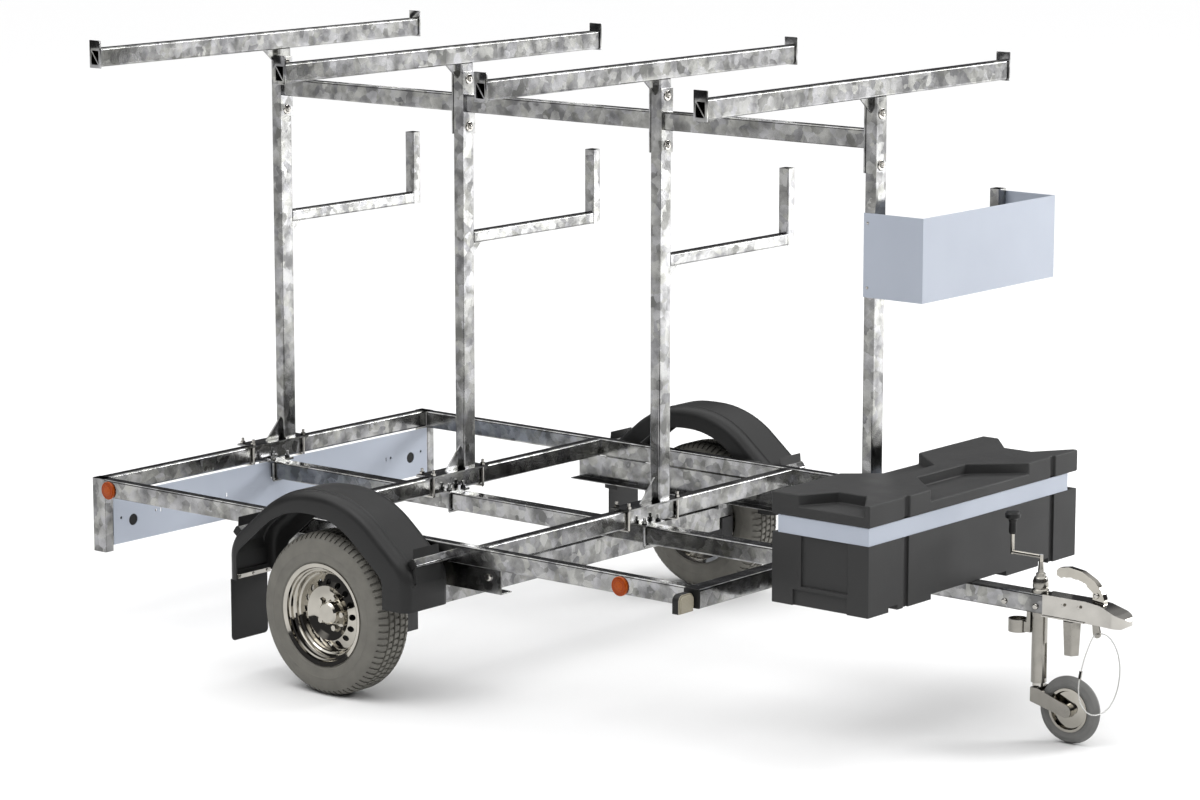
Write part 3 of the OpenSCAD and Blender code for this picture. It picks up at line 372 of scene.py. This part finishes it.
def coated_sheet():
    """Powder coat on thin sheet: an even pale blue grey with a soft sheen and a hint of orange peel."""
    finish, tree, shader = new_finish("coated_sheet")
    place = add_node(tree, "ShaderNodeTexCoord")
    drift = add_node(tree, "ShaderNodeTexNoise", {"Vector": place.outputs["Object"]},
                     {"Scale": 1000 / SHEET_WAVE_MM, "Detail": 2.0})
    tone = add_node(tree, "ShaderNodeValToRGB", {"Fac": drift.outputs["Fac"]})
    tone.color_ramp.elements[0].color = linear("#a9b0bd")
    tone.color_ramp.elements[1].color = linear("#b8bfcb")
    peel = add_node(tree, "ShaderNodeTexNoise", {"Vector": place.outputs["Object"]},
                    {"Scale": 1000 / SHEET_GRAIN_MM, "Detail": 1.0})
    relief = add_node(tree, "ShaderNodeBump", {"Height": peel.outputs["Fac"]},
                      {"Strength": 0.05, "Distance": 0.0003})
    tree.links.new(tone.outputs["Color"], shader.inputs["Base Color"])
    tree.links.new(relief.outputs["Normal"], shader.inputs["Normal"])
    shader.inputs["Roughness"].default_value = 0.38
    shader.inputs["Specular IOR Level"].default_value = 0.35
    return finish


pale_sheet = coated_sheet()
for node, edge in SHEET_EDGES.items():
    softened(node, edge, pale_sheet)

# Caps, flaps and grips: injection moulded black polypropylene and rubber with a fine spark-eroded grain,
# pushed into the open tube ends or screwed on.
GRAIN_MM = 2.2
WEAR_PER_METRE = 9.0
WEAR_SPAN = (0.3, 0.75)
PLASTIC_GLOSS = (0.9, 1.15)


def moulded_plastic(name, dark, pale, roughness, grain_mm):
    """Moulded black plastic: near-black satin with a grain that breaks up highlights, paler where worn."""
    finish, tree, shader = new_finish(name)
    place = add_node(tree, "ShaderNodeTexCoord")
    wear = add_node(tree, "ShaderNodeTexNoise", {"Vector": place.outputs["Object"]},
                    {"Scale": WEAR_PER_METRE, "Detail": 6.0})
    tone = add_node(tree, "ShaderNodeValToRGB", {"Fac": wear.outputs["Fac"]})
    tone.color_ramp.elements[0].position = WEAR_SPAN[0]
    tone.color_ramp.elements[0].color = linear(dark)
    tone.color_ramp.elements[1].position = WEAR_SPAN[1]
    tone.color_ramp.elements[1].color = linear(pale)
    gloss = add_node(tree, "ShaderNodeMapRange", {"Value": wear.outputs["Fac"]},
                     {"From Min": NOISE_SPAN[0], "From Max": NOISE_SPAN[1],
                      "To Min": roughness * PLASTIC_GLOSS[0], "To Max": roughness * PLASTIC_GLOSS[1]})
    grain = add_node(tree, "ShaderNodeTexVoronoi", {"Vector": place.outputs["Object"]},
                     {"Scale": 1000 / grain_mm})
    relief = add_node(tree, "ShaderNodeBump", {"Height": grain.outputs["Distance"]},
                      {"Strength": 0.12, "Distance": 0.0004})
    tree.links.new(tone.outputs["Color"], shader.inputs["Base Color"])
    tree.links.new(gloss.outputs["Result"], shader.inputs["Roughness"])
    tree.links.new(relief.outputs["Normal"], shader.inputs["Normal"])
    shader.inputs["Specular IOR Level"].default_value = 0.32
    return finish


cap_plastic = moulded_plastic("cap_plastic", "#0d0d0d", "#171717", 0.5, GRAIN_MM)
guard_plastic = moulded_plastic("guard_plastic", "#1e1e1e", "#242424", 0.44, GRAIN_MM)
softened("beam_caps", edge_mm=1.5, finish=cap_plastic)
softened("mud_flaps", edge_mm=1.0, finish=guard_plastic)
softened("crank_knob", edge_mm=0, finish=cap_plastic)

# Trailing arms: forged steel under black chassis paint, on the ends of the axle's rubber spring tube. Each
# one ends in the stub that its wheel turns on.
ARM_PAINT_MM = 30


def chassis_paint():
    """Brushed-on black chassis paint over forged steel: dull, a little uneven, with a soft sheen."""
    finish, tree, shader = new_finish("chassis_paint")
    place = add_node(tree, "ShaderNodeTexCoord")
    coat = add_node(tree, "ShaderNodeTexNoise", {"Vector": place.outputs["Object"]},
                    {"Scale": 1000 / ARM_PAINT_MM, "Detail": 5.0})
    tone = add_node(tree, "ShaderNodeValToRGB", {"Fac": coat.outputs["Fac"]})
    tone.color_ramp.elements[0].color = linear("#1c1c1d")
    tone.color_ramp.elements[1].color = linear("#39393a")
    relief = add_node(tree, "ShaderNodeBump", {"Height": coat.outputs["Fac"]},
                      {"Strength": 0.2, "Distance": 0.0006})
    tree.links.new(tone.outputs["Color"], shader.inputs["Base Color"])
    tree.links.new(relief.outputs["Normal"], shader.inputs["Normal"])
    shader.inputs["Roughness"].default_value = 0.55
    return finish


arm_paint = chassis_paint()
softened("swing_arms", edge_mm=2.5, finish=arm_paint)

# Road wheels: moulded rubber tyres with a smooth bulging side wall, two thin rings on it, and a block tread
# with grooves all round and slots across its rows. The bright rims have stepped barrels, and a black hub.
TYRE_STEPS = 216
TREAD_DEPTH = 0.004
# Shading is smooth over edges flatter than so many degrees, and the ends of a full turn merge at the seam
TYRE_SMOOTH = 28
RIM_SMOOTH = 24
HUB_SMOOTH = 30
SEAM = 0.00001
# Rows of tread blocks, in millimetres from the middle plane: shoulder, middle and the one between. Each block
# is so many steps long, and the slots of the rows are one step apart.
BLOCK_ROWS = ((40, 66), (-1, 9), (16, 33))
SLOT_EVERY = 3
# Half of the tyre's section from the middle of the tread to the bead, in millimetres: distance from the
# middle plane and depth below the tread's crown
TYRE_SECTION = [(0, 0), (9, 0), (9.5, 6), (15.5, 6), (16, 0), (33, 0), (33.5, 6), (39, 6), (40, 0.2),
                (51.5, 4), (60, 10), (67, 17), (71.5, 22), (74.6, 30), (76.6, 39), (77.5, 48), (77.2, 55),
                (77.6, 56), (77.5, 59), (76.8, 60), (75.6, 70), (73.5, 80), (72, 87), (72.2, 88), (69.5, 91),
                (66, 98), (61.5, 104)]
DUST_MM = 45
RUBBER_SKIN_MM = 2.5
# The hub that the rim is bolted to, seen as the dark ground behind its holes: millimetres outward from the
# wheel's middle plane, and radius
HUB_SECTION = [(-34, 40), (-34, 104), (-30, 110), (2, 112), (6, 108), (8, 40)]
HUB_STEPS = 48
# Pressed steps of the rim's barrel: millimetres inward from the rim's outer edge, and from its outer radius
BARREL_SECTION = [(4.5, 14.5), (11, 16), (14, 20.5), (23, 22), (26, 27), (33, 31.5), (38, 32.5), (42, 37.5),
                  (50, 39)]
# Where the barrel meets the rim's disc, in metres outward from the wheel's middle plane, and radius
BARREL_FOOT = (0.027, 0.1125)
BARREL_STEPS = 96


def tyre_rubber(name, dark, pale):
    """Moulded tyre rubber: warm dull grey, dusty in the hollows, with a fine matt skin."""
    finish, tree, shader = new_finish(name)
    place = add_node(tree, "ShaderNodeTexCoord")
    dust = add_node(tree, "ShaderNodeTexNoise", {"Vector": place.outputs["Object"]},
                    {"Scale": 1000 / DUST_MM, "Detail": 6.0})
    tone = add_node(tree, "ShaderNodeValToRGB", {"Fac": dust.outputs["Fac"]})
    tone.color_ramp.elements[0].position = NOISE_SPAN[0]
    tone.color_ramp.elements[0].color = linear(dark)
    tone.color_ramp.elements[1].position = NOISE_SPAN[1]
    tone.color_ramp.elements[1].color = linear(pale)
    skin = add_node(tree, "ShaderNodeTexNoise", {"Vector": place.outputs["Object"]},
                    {"Scale": 1000 / RUBBER_SKIN_MM, "Detail": 2.0})
    relief = add_node(tree, "ShaderNodeBump", {"Height": skin.outputs["Fac"]},
                      {"Strength": 0.15, "Distance": 0.0004})
    tree.links.new(tone.outputs["Color"], shader.inputs["Base Color"])
    tree.links.new(relief.outputs["Normal"], shader.inputs["Normal"])
    shader.inputs["Roughness"].default_value = 0.72
    return finish


def lone_point(name):
    """A new mesh of one point at the origin, in edit mode with the point selected."""
    bpy.ops.object.select_all(action="DESELECT")
    bpy.ops.mesh.primitive_plane_add(size=1)
    piece = bpy.context.object
    piece.name = name
    bpy.ops.object.mode_set(mode="EDIT")
    bpy.ops.mesh.select_mode(type="VERT")
    bpy.ops.mesh.select_all(action="SELECT")
    bpy.ops.mesh.merge(type="CENTER")
    return piece


def turned(name, section, centre, steps):
    """A mesh turned about a level axle across the trailer, from a section of y and radius in metres."""
    piece = lone_point(name)
    bpy.ops.transform.translate(value=(0, section[0][0], section[0][1]))
    for (y0, r0), (y1, r1) in zip(section, section[1:]):
        bpy.ops.mesh.extrude_region_move(TRANSFORM_OT_translate={"value": (0, y1 - y0, r1 - r0)})
    bpy.ops.mesh.select_all(action="SELECT")
    bpy.ops.mesh.spin(steps=steps, angle=2 * math.pi, center=(0, 0, 0), axis=(0, 1, 0))
    bpy.ops.mesh.select_all(action="SELECT")
    bpy.ops.mesh.remove_doubles(threshold=SEAM)
    bpy.ops.mesh.normals_make_consistent(inside=False)
    bpy.ops.transform.translate(value=centre)
    bpy.ops.object.mode_set(mode="OBJECT")
    return piece


def is_slot(spot):
    """Whether a tread face, given from the wheel's middle, is one of the slots across the blocks."""
    across = abs(spot.y) * 1000
    step = int(math.degrees(math.atan2(spot.z, spot.x)) % 360 / 360 * TYRE_STEPS)
    for row, (inner, outer) in enumerate(BLOCK_ROWS):
        if inner < across < outer:
            return (step + row) % SLOT_EVERY == 0
    return False


road_rubber = tyre_rubber("road_rubber", "#686660", "#74726b")
for side in ("right", "left"):
    low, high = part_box("tyre_" + side)
    axle = (low + high) / 2
    crown = (high.z - low.z) / 2
    half = [(y / 1000, crown - depth / 1000) for y, depth in TYRE_SECTION]
    ring = [(-y, r) for y, r in reversed(half)] + half[1:]
    ring.append(ring[0])
    tyre = turned("road_tyre_" + side, ring, axle, TYRE_STEPS)
    pick(tyre, "FACE", lambda face: is_slot(face.center - axle))
    bpy.ops.mesh.extrude_region_shrink_fatten(TRANSFORM_OT_shrink_fatten={"value": -TREAD_DEPTH})
    bpy.ops.object.mode_set(mode="OBJECT")
    bpy.ops.object.shade_smooth_by_angle(angle=math.radians(TYRE_SMOOTH))
    tyre.data.materials.append(road_rubber)
    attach(tyre, "wheel_" + side)
    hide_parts("tyre_" + side)
    softened("rim_" + side, edge_mm=0, finish=chrome_plate, sharp=RIM_SMOOTH)
    outward = -1 if side == "right" else 1
    rim_low, rim_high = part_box("rim_" + side)
    rim_edge = max(abs(rim_low.y), abs(rim_high.y)) - abs(axle.y)
    rim_radius = (rim_high.z - rim_low.z) / 2
    barrel_section = [(outward * (rim_edge - y / 1000), rim_radius - r / 1000) for y, r in BARREL_SECTION]
    barrel_section.append((outward * BARREL_FOOT[0], BARREL_FOOT[1]))
    barrel = turned("rim_barrel_" + side, barrel_section, axle, BARREL_STEPS)
    bpy.ops.object.shade_smooth_by_angle(angle=math.radians(RIM_SMOOTH))
    barrel.data.materials.append(chrome_plate)
    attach(barrel, "wheel_" + side)
    hub_section = [(outward * y / 1000, r / 1000) for y, r in HUB_SECTION]
    hub = turned("wheel_hub_" + side, hub_section, axle, HUB_STEPS)
    bpy.ops.object.shade_smooth_by_angle(angle=math.radians(HUB_SMOOTH))
    hub.data.materials.append(arm_paint)
    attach(hub, "wheel_" + side)

# Mudguards: moulded black plastic arches with a wall down each side and a raised panel along the crown,
# carried on the four support tubes that stick out of the frame.
BEND_STEPS = 12
# Side view in metres: middle and half of the length, top, half of the flat that the unrounded top would have,
# slope of the flanks in degrees, radii of the lower and upper bends, and lower end
GUARD_MIDDLE = -0.542
GUARD_HALF = 0.386
GUARD_TOP = 0.653
GUARD_FLAT = 0.140
GUARD_SLOPE = 39.6
GUARD_BENDS = (0.110, 0.360)
GUARD_END = 0.322
# Thickness, depth of the side walls, how far the outer wall's opening sits to the rear, and rounded shoulders
GUARD_SHEET = 0.005
GUARD_WALL = 0.070
GUARD_SHIFT = -0.031
GUARD_SHOULDER = 0.030
SHOULDER_STEPS = 6
GUARD_SMOOTH = 40
# The raised panel: its distance from the shoulders, its height, and how far over the lower end it stops
PANEL_EDGE = 0.012
PANEL_RISE = 0.004
PANEL_STOP = 0.02
# Tests: how far apart places may be that count as equal, and the sideways part of a wall's and a crown's
# normal
TOUCH = 0.0001
WALL_NORMAL = 0.5
CROWN_NORMAL = 0.01


def bend(centre, radius, start, stop):
    """Points on an arc in the guard's side view, from one angle to another."""
    turns = [math.radians(start + (stop - start) * i / BEND_STEPS) for i in range(BEND_STEPS + 1)]
    return [(centre[0] + radius * math.cos(turn), centre[1] + radius * math.sin(turn)) for turn in turns]


guard_normal = 90 - GUARD_SLOPE
normal_x, normal_z = math.cos(math.radians(guard_normal)), math.sin(math.radians(guard_normal))
guard_reach = GUARD_FLAT * normal_x + GUARD_TOP * normal_z
low_x = GUARD_HALF - GUARD_BENDS[0]
low_bend = (low_x, (guard_reach - GUARD_BENDS[0] - low_x * normal_x) / normal_z)
high_z = GUARD_TOP - GUARD_BENDS[1]
high_bend = ((guard_reach - GUARD_BENDS[1] - high_z * normal_z) / normal_x, high_z)
# The flanks run on below the lower end, where the finished shell is cut off
guard_front = [(GUARD_HALF, GUARD_END - 2 * GUARD_WALL)] + bend(low_bend, GUARD_BENDS[0], 0, guard_normal)
guard_front += bend(high_bend, GUARD_BENDS[1], guard_normal, 90)
guard_line = guard_front + [(-x, z) for x, z in reversed(guard_front)]
for side in ("right", "left"):
    low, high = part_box("mudguard_" + side)
    outer = low.y if side == "right" else high.y
    guard = lone_point("mudguard_shell_" + side)
    bpy.ops.transform.translate(value=(GUARD_MIDDLE + guard_line[0][0], low.y, guard_line[0][1]))
    bpy.ops.mesh.extrude_region_move(TRANSFORM_OT_translate={"value": (0, high.y - low.y, 0)})
    bpy.ops.mesh.select_all(action="SELECT")
    for (x0, z0), (x1, z1) in zip(guard_line, guard_line[1:]):
        bpy.ops.mesh.extrude_region_move(TRANSFORM_OT_translate={"value": (x1 - x0, 0, z1 - z0)})
    for edge_y in (low.y, high.y):
        pick(guard, "VERT", lambda vertex: abs(vertex.co.y - edge_y) < TOUCH)
        bpy.ops.mesh.edge_face_add()
        bpy.ops.mesh.inset(thickness=GUARD_WALL, use_boundary=True)
        if edge_y == outer:
            bpy.ops.transform.translate(value=(GUARD_SHIFT, 0, 0))
        bpy.ops.mesh.delete(type="FACE")
    bpy.ops.mesh.select_all(action="SELECT")
    bpy.ops.mesh.normals_make_consistent(inside=False)
    bpy.ops.object.mode_set(mode="OBJECT")
    crown_edges = {tuple(sorted(edge)) for face in guard.data.polygons if abs(face.normal.y) < WALL_NORMAL
                   for edge in face.edge_keys}
    wall_edges = {tuple(sorted(edge)) for face in guard.data.polygons if abs(face.normal.y) > WALL_NORMAL
                  for edge in face.edge_keys}
    pick(guard, "EDGE", lambda edge: tuple(sorted(edge.vertices)) in crown_edges & wall_edges)
    bpy.ops.mesh.bevel(offset=GUARD_SHOULDER, segments=SHOULDER_STEPS)
    panel_low = GUARD_END + PANEL_STOP
    pick(guard, "FACE", lambda face: abs(face.normal.y) < CROWN_NORMAL and face.center.z > panel_low)
    bpy.ops.mesh.inset(thickness=PANEL_EDGE, use_boundary=True)
    bpy.ops.mesh.inset(thickness=PANEL_RISE, depth=PANEL_RISE, use_boundary=True)
    bpy.ops.mesh.select_all(action="SELECT")
    bpy.ops.mesh.bisect(plane_co=(0, 0, GUARD_END), plane_no=(0, 0, 1), clear_inner=True)
    bpy.ops.mesh.select_mode(type="VERT")
    bpy.ops.object.mode_set(mode="OBJECT")
    sheet = guard.modifiers.new("sheet", "SOLIDIFY")
    sheet.thickness = GUARD_SHEET
    sheet.offset = -1
    bpy.ops.object.modifier_apply(modifier="sheet")
    bpy.ops.object.shade_smooth_by_angle(angle=math.radians(GUARD_SMOOTH))
    guard.data.materials.append(guard_plastic)
    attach(guard, "chassis")
    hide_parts("mudguard_" + side)

# Flap strips: a flat bar of bright steel across the top of each mud flap, pinching it to the mudguard with
# three screws.
STRIP_MM = (2.5, 160, 14)
STRIP_AT = (-0.902, 0.953, 0.329)
STRIP_EDGE = 0.0008
# Screws: radius and height of the head, and their places along the strip in millimetres
SCREW_MM = (5, 3)
SCREW_SPREAD = (-62, 0, 62)
# All heads: rounded edge in metres for each millimetre of radius or height, and degrees of smooth shading
HEAD_EDGE = 0.0006
HEAD_SMOOTH = 35


def screw_head(place, axis, radius_mm, height_mm, corners=16):
    """A domed screw or bolt head: place is the middle of its foot, and axis points away from the face."""
    axis = Vector(axis)
    bpy.ops.object.select_all(action="DESELECT")
    bpy.ops.mesh.primitive_cylinder_add(vertices=corners, radius=radius_mm / 1000, depth=height_mm / 1000,
                                        location=Vector(place) + axis * height_mm / 2000,
                                        rotation=axis.to_track_quat("Z", "Y").to_euler())
    head = bpy.context.object
    bpy.ops.object.transform_apply(location=True, rotation=True, scale=True)
    top = Vector(place) + axis * height_mm / 1000
    rim = {i for i, vertex in enumerate(head.data.vertices) if abs((vertex.co - top).dot(axis)) < TOUCH}
    pick(head, "EDGE", lambda edge: set(edge.vertices) <= rim)
    bpy.ops.mesh.bevel(offset=min(radius_mm, height_mm) * HEAD_EDGE, segments=3)
    bpy.ops.object.mode_set(mode="OBJECT")
    bpy.ops.object.shade_smooth_by_angle(angle=math.radians(HEAD_SMOOTH))
    return head


def joined(name, pieces, finish):
    """Joins small pieces to one named mesh that rides on the chassis."""
    bpy.ops.object.select_all(action="DESELECT")
    for piece in pieces:
        piece.select_set(True)
    bpy.context.view_layer.objects.active = pieces[0]
    bpy.ops.object.join()
    whole = bpy.context.object
    whole.name = name
    whole.data.materials.clear()
    whole.data.materials.append(finish)
    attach(whole, "chassis")
    return whole


strips = []
for sign in (-1, 1):
    strip_y = sign * STRIP_AT[1]
    bpy.ops.object.select_all(action="DESELECT")
    bpy.ops.mesh.primitive_cube_add(size=1, location=(STRIP_AT[0], strip_y, STRIP_AT[2]),
                                    scale=[size / 1000 for size in STRIP_MM])
    bpy.ops.object.transform_apply(location=True, rotation=True, scale=True)
    round_edges(STRIP_EDGE)
    strips.append(bpy.context.object)
    face_x = STRIP_AT[0] + STRIP_MM[0] / 2000
    for spread in SCREW_SPREAD:
        strips.append(screw_head((face_x, strip_y + spread / 1000, STRIP_AT[2]), (1, 0, 0), *SCREW_MM))
joined("flap_strips", strips, polished_zinc)

# Lamps and reflectors: moulded lenses. The round amber reflectors on the side rails have stepped rings and a
# prism pattern, the front markers a pale lens in a dark housing, the rear clusters red and amber lenses.
# Every lens has a painted glint that makes each small prism paler at its middle.
PRISM_MM = 4
PRISM_END = 0.7
REFLECTOR_XS = (-1.700, 0.523)
REFLECTOR_Z = 0.475
REFLECTOR_STEPS = 48
REFLECTOR_SMOOTH = 30
# Section of a reflector in millimetres: height over the rail and radius
REFLECTOR_SECTION = [(0, 30), (5.5, 30), (6.5, 29), (6.5, 27), (5, 26.5), (5, 25.5), (7.5, 24.5), (8.2, 18),
                     (7.6, 17.5), (7.6, 16.5), (8.8, 16), (9.4, 9), (8.8, 8.5), (8.8, 7), (9.6, 6.5),
                     (10, 0.2)]
# Depth of the lenses on the front and rear lamps, and width of the rear lamps' amber ends
FRONT_LENS = 0.010
REAR_LENS = 0.0065
AMBER_WIDTH = 0.058


def lens(name, colour, prism_glint):
    """Moulded acrylic lens: a satin face over a pattern of small prisms that breaks the colour up, each prism
    with a painted glint.
    """
    finish, tree, shader = new_finish(name)
    place = add_node(tree, "ShaderNodeTexCoord")
    prisms = add_node(tree, "ShaderNodeTexVoronoi", {"Vector": place.outputs["Object"]},
                      {"Scale": 1000 / PRISM_MM, "Randomness": 0.15})
    tone = add_node(tree, "ShaderNodeValToRGB", {"Fac": prisms.outputs["Distance"]})
    # Painted glint: each prism is painted paler towards its middle, as if it caught the light
    tone.color_ramp.elements[0].color = linear(prism_glint)
    tone.color_ramp.elements[1].position = PRISM_END
    tone.color_ramp.elements[1].color = linear(colour)
    relief = add_node(tree, "ShaderNodeBump", {"Height": prisms.outputs["Distance"]},
                      {"Strength": 0.3, "Distance": 0.0006})
    tree.links.new(tone.outputs["Color"], shader.inputs["Base Color"])
    tree.links.new(relief.outputs["Normal"], shader.inputs["Normal"])
    shader.inputs["Roughness"].default_value = 0.3
    shader.inputs["Specular IOR Level"].default_value = 0.25
    return finish


amber_lens = lens("amber_lens", "#8f3400", "#c05a00")
red_lens = lens("red_lens", "#7c0a08", "#b01812")
clear_lens = lens("clear_lens", "#8c8676", "#b4ad9b")
rail_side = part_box("side_rail_left")[1].y
discs = []
for disc_x in REFLECTOR_XS:
    for sign in (-1, 1):
        section = [(sign * height / 1000, radius / 1000) for height, radius in REFLECTOR_SECTION]
        disc_at = (disc_x, sign * rail_side, REFLECTOR_Z)
        discs.append(turned("reflector", section, disc_at, REFLECTOR_STEPS))
        bpy.ops.object.shade_smooth_by_angle(angle=math.radians(REFLECTOR_SMOOTH))
reflectors = joined("amber_reflectors", discs, amber_lens)
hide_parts("side_reflectors")
front_lamp = softened("front_lamps", edge_mm=2.0, finish=cap_plastic)
front_lamp.data.materials.append(clear_lens)
lens_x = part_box("front_lamps")[1].x - FRONT_LENS
for face in front_lamp.data.polygons:
    face.material_index = 1 if face.center.x > lens_x else 0
rear_lamp = softened("rear_lamps", edge_mm=1.5, finish=cap_plastic)
rear_lamp.data.materials.append(red_lens)
rear_lamp.data.materials.append(amber_lens)
rear_low, rear_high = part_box("rear_lamps")
for face in rear_lamp.data.polygons:
    if face.center.x < rear_low.x + REAR_LENS:
        face.material_index = 2 if abs(face.center.y) > rear_high.y - AMBER_WIDTH else 1

# Rack bolts: each rail flange is bolted through its post above and below the rail, with a broad washer
# under every hexagon head. Two rivets hold the bin's right side to the last post.
FLANGE_MM = 6
FLANGE_BOLT_MM = 80
# Heads, washers and rivets: radius and height
HEAD_MM = (9, 8)
HEAD_CORNERS = 6
WASHER_MM = (17, 3)
WASHER_CORNERS = 24
BIN_RIVET_X = 0.784
BIN_RIVET_ZS = (1.303, 1.505)
BIN_RIVET_MM = (4.5, 2.5)
rack_bolts = []
rail_low, rail_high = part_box("top_rails")
rail_z = (rail_low.z + rail_high.z) / 2
for number in (1, 2, 3, 4):
    low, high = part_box(f"post_{number}")
    post_y = (low.y + high.y) / 2
    front_face = high.x + (FLANGE_MM / 1000 if number < 4 else 0)
    rear_face = low.x - (FLANGE_MM / 1000 if number > 1 else 0)
    for way, face_x in ((1, front_face), (-1, rear_face)):
        for up in (-1, 1):
            foot = Vector((face_x, post_y, rail_z + up * FLANGE_BOLT_MM / 1000))
            rack_bolts.append(screw_head(foot, (way, 0, 0), *WASHER_MM, corners=WASHER_CORNERS))
            foot = foot + Vector((way * WASHER_MM[1] / 1000, 0, 0))
            rack_bolts.append(screw_head(foot, (way, 0, 0), *HEAD_MM, corners=HEAD_CORNERS))
bin_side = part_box("front_bin")[0].y
for bin_rivet_z in BIN_RIVET_ZS:
    rack_bolts.append(screw_head((BIN_RIVET_X, bin_side, bin_rivet_z), (0, -1, 0), *BIN_RIVET_MM))
joined("rack_bolts", rack_bolts, polished_zinc)
softened("foot_bolts", edge_mm=0, finish=polished_zinc)

# Drawbar box: rotation moulded charcoal polyethylene, body and lid apart, with soft edges and sunk panels,
# and a bent sheet collar that raises the lid.
BOX_GRAIN_MM = 3.5
box_plastic = moulded_plastic("box_plastic", "#303030", "#363636", 0.6, BOX_GRAIN_MM)
softened("box_body", edge_mm=5.0, finish=box_plastic, segments=3)
softened("box_lid", edge_mm=5.0, finish=box_plastic, segments=3)
softened("box_collar", edge_mm=1.0, finish=pale_sheet)

# Jockey wheel: a zinc plated tube with a polished screw dome and crank on top, a bent fork below and a
# solid rubber wheel on a pressed rim.
softened("jockey_tube", edge_mm=0, finish=satin_zinc)
softened("jockey_stem", edge_mm=0, finish=polished_zinc)
softened("jockey_clamp", edge_mm=0.8, finish=satin_zinc)
softened("jockey_crank", edge_mm=0, finish=chrome_plate)
softened("jockey_fork", edge_mm=1.2, finish=satin_zinc)
softened("jockey_rim", edge_mm=0, finish=chrome_plate, sharp=RIM_SMOOTH)
jockey_rubber = tyre_rubber("jockey_rubber", "#6a6a68", "#757573")
softened("jockey_tyre", edge_mm=3.0, finish=jockey_rubber, segments=3, sharp=12)

# Coupling: pressed steel body, cast lever and plug cup, all bright zinc plated, with bolts through its side
# walls and the drawbar, rivets, and the bolt that the lever turns on. The axle carriers' bolts are with them.
softened("coupling_body", edge_mm=2.5, finish=polished_zinc, segments=3)
softened("coupling_handle", edge_mm=3.5, finish=chrome_plate, segments=3)
softened("plug_cup", edge_mm=1.5, finish=satin_zinc)
softened("eye_plate", edge_mm=1.0, finish=satin_zinc)
# Heads: radius and height in millimetres
BOLT_HEAD_MM = (9.5, 6)
BOSS_MM = (13, 7)
RIVET_MM = (5, 2.5)
PIVOT_MM = (9, 6)
# Where each head's foot is on the trailer's left, in metres, and its size; the right has the same
SIDE_BOLTS = [((1.372, 0.030, 0.411), BOLT_HEAD_MM), ((1.484, 0.030, 0.411), BOLT_HEAD_MM),
              ((-0.037, 0.790, 0.414), BOSS_MM), ((1.584, 0.037, 0.430), RIVET_MM),
              ((1.640, 0.037, 0.432), RIVET_MM), ((1.686, 0.011, 0.470), PIVOT_MM)]
drawbar_bolts = []
for (bolt_x, bolt_y, bolt_z), head_mm in SIDE_BOLTS:
    for sign in (-1, 1):
        drawbar_bolts.append(screw_head((bolt_x, sign * bolt_y, bolt_z), (0, sign, 0), *head_mm))
joined("drawbar_bolts", drawbar_bolts, polished_zinc)
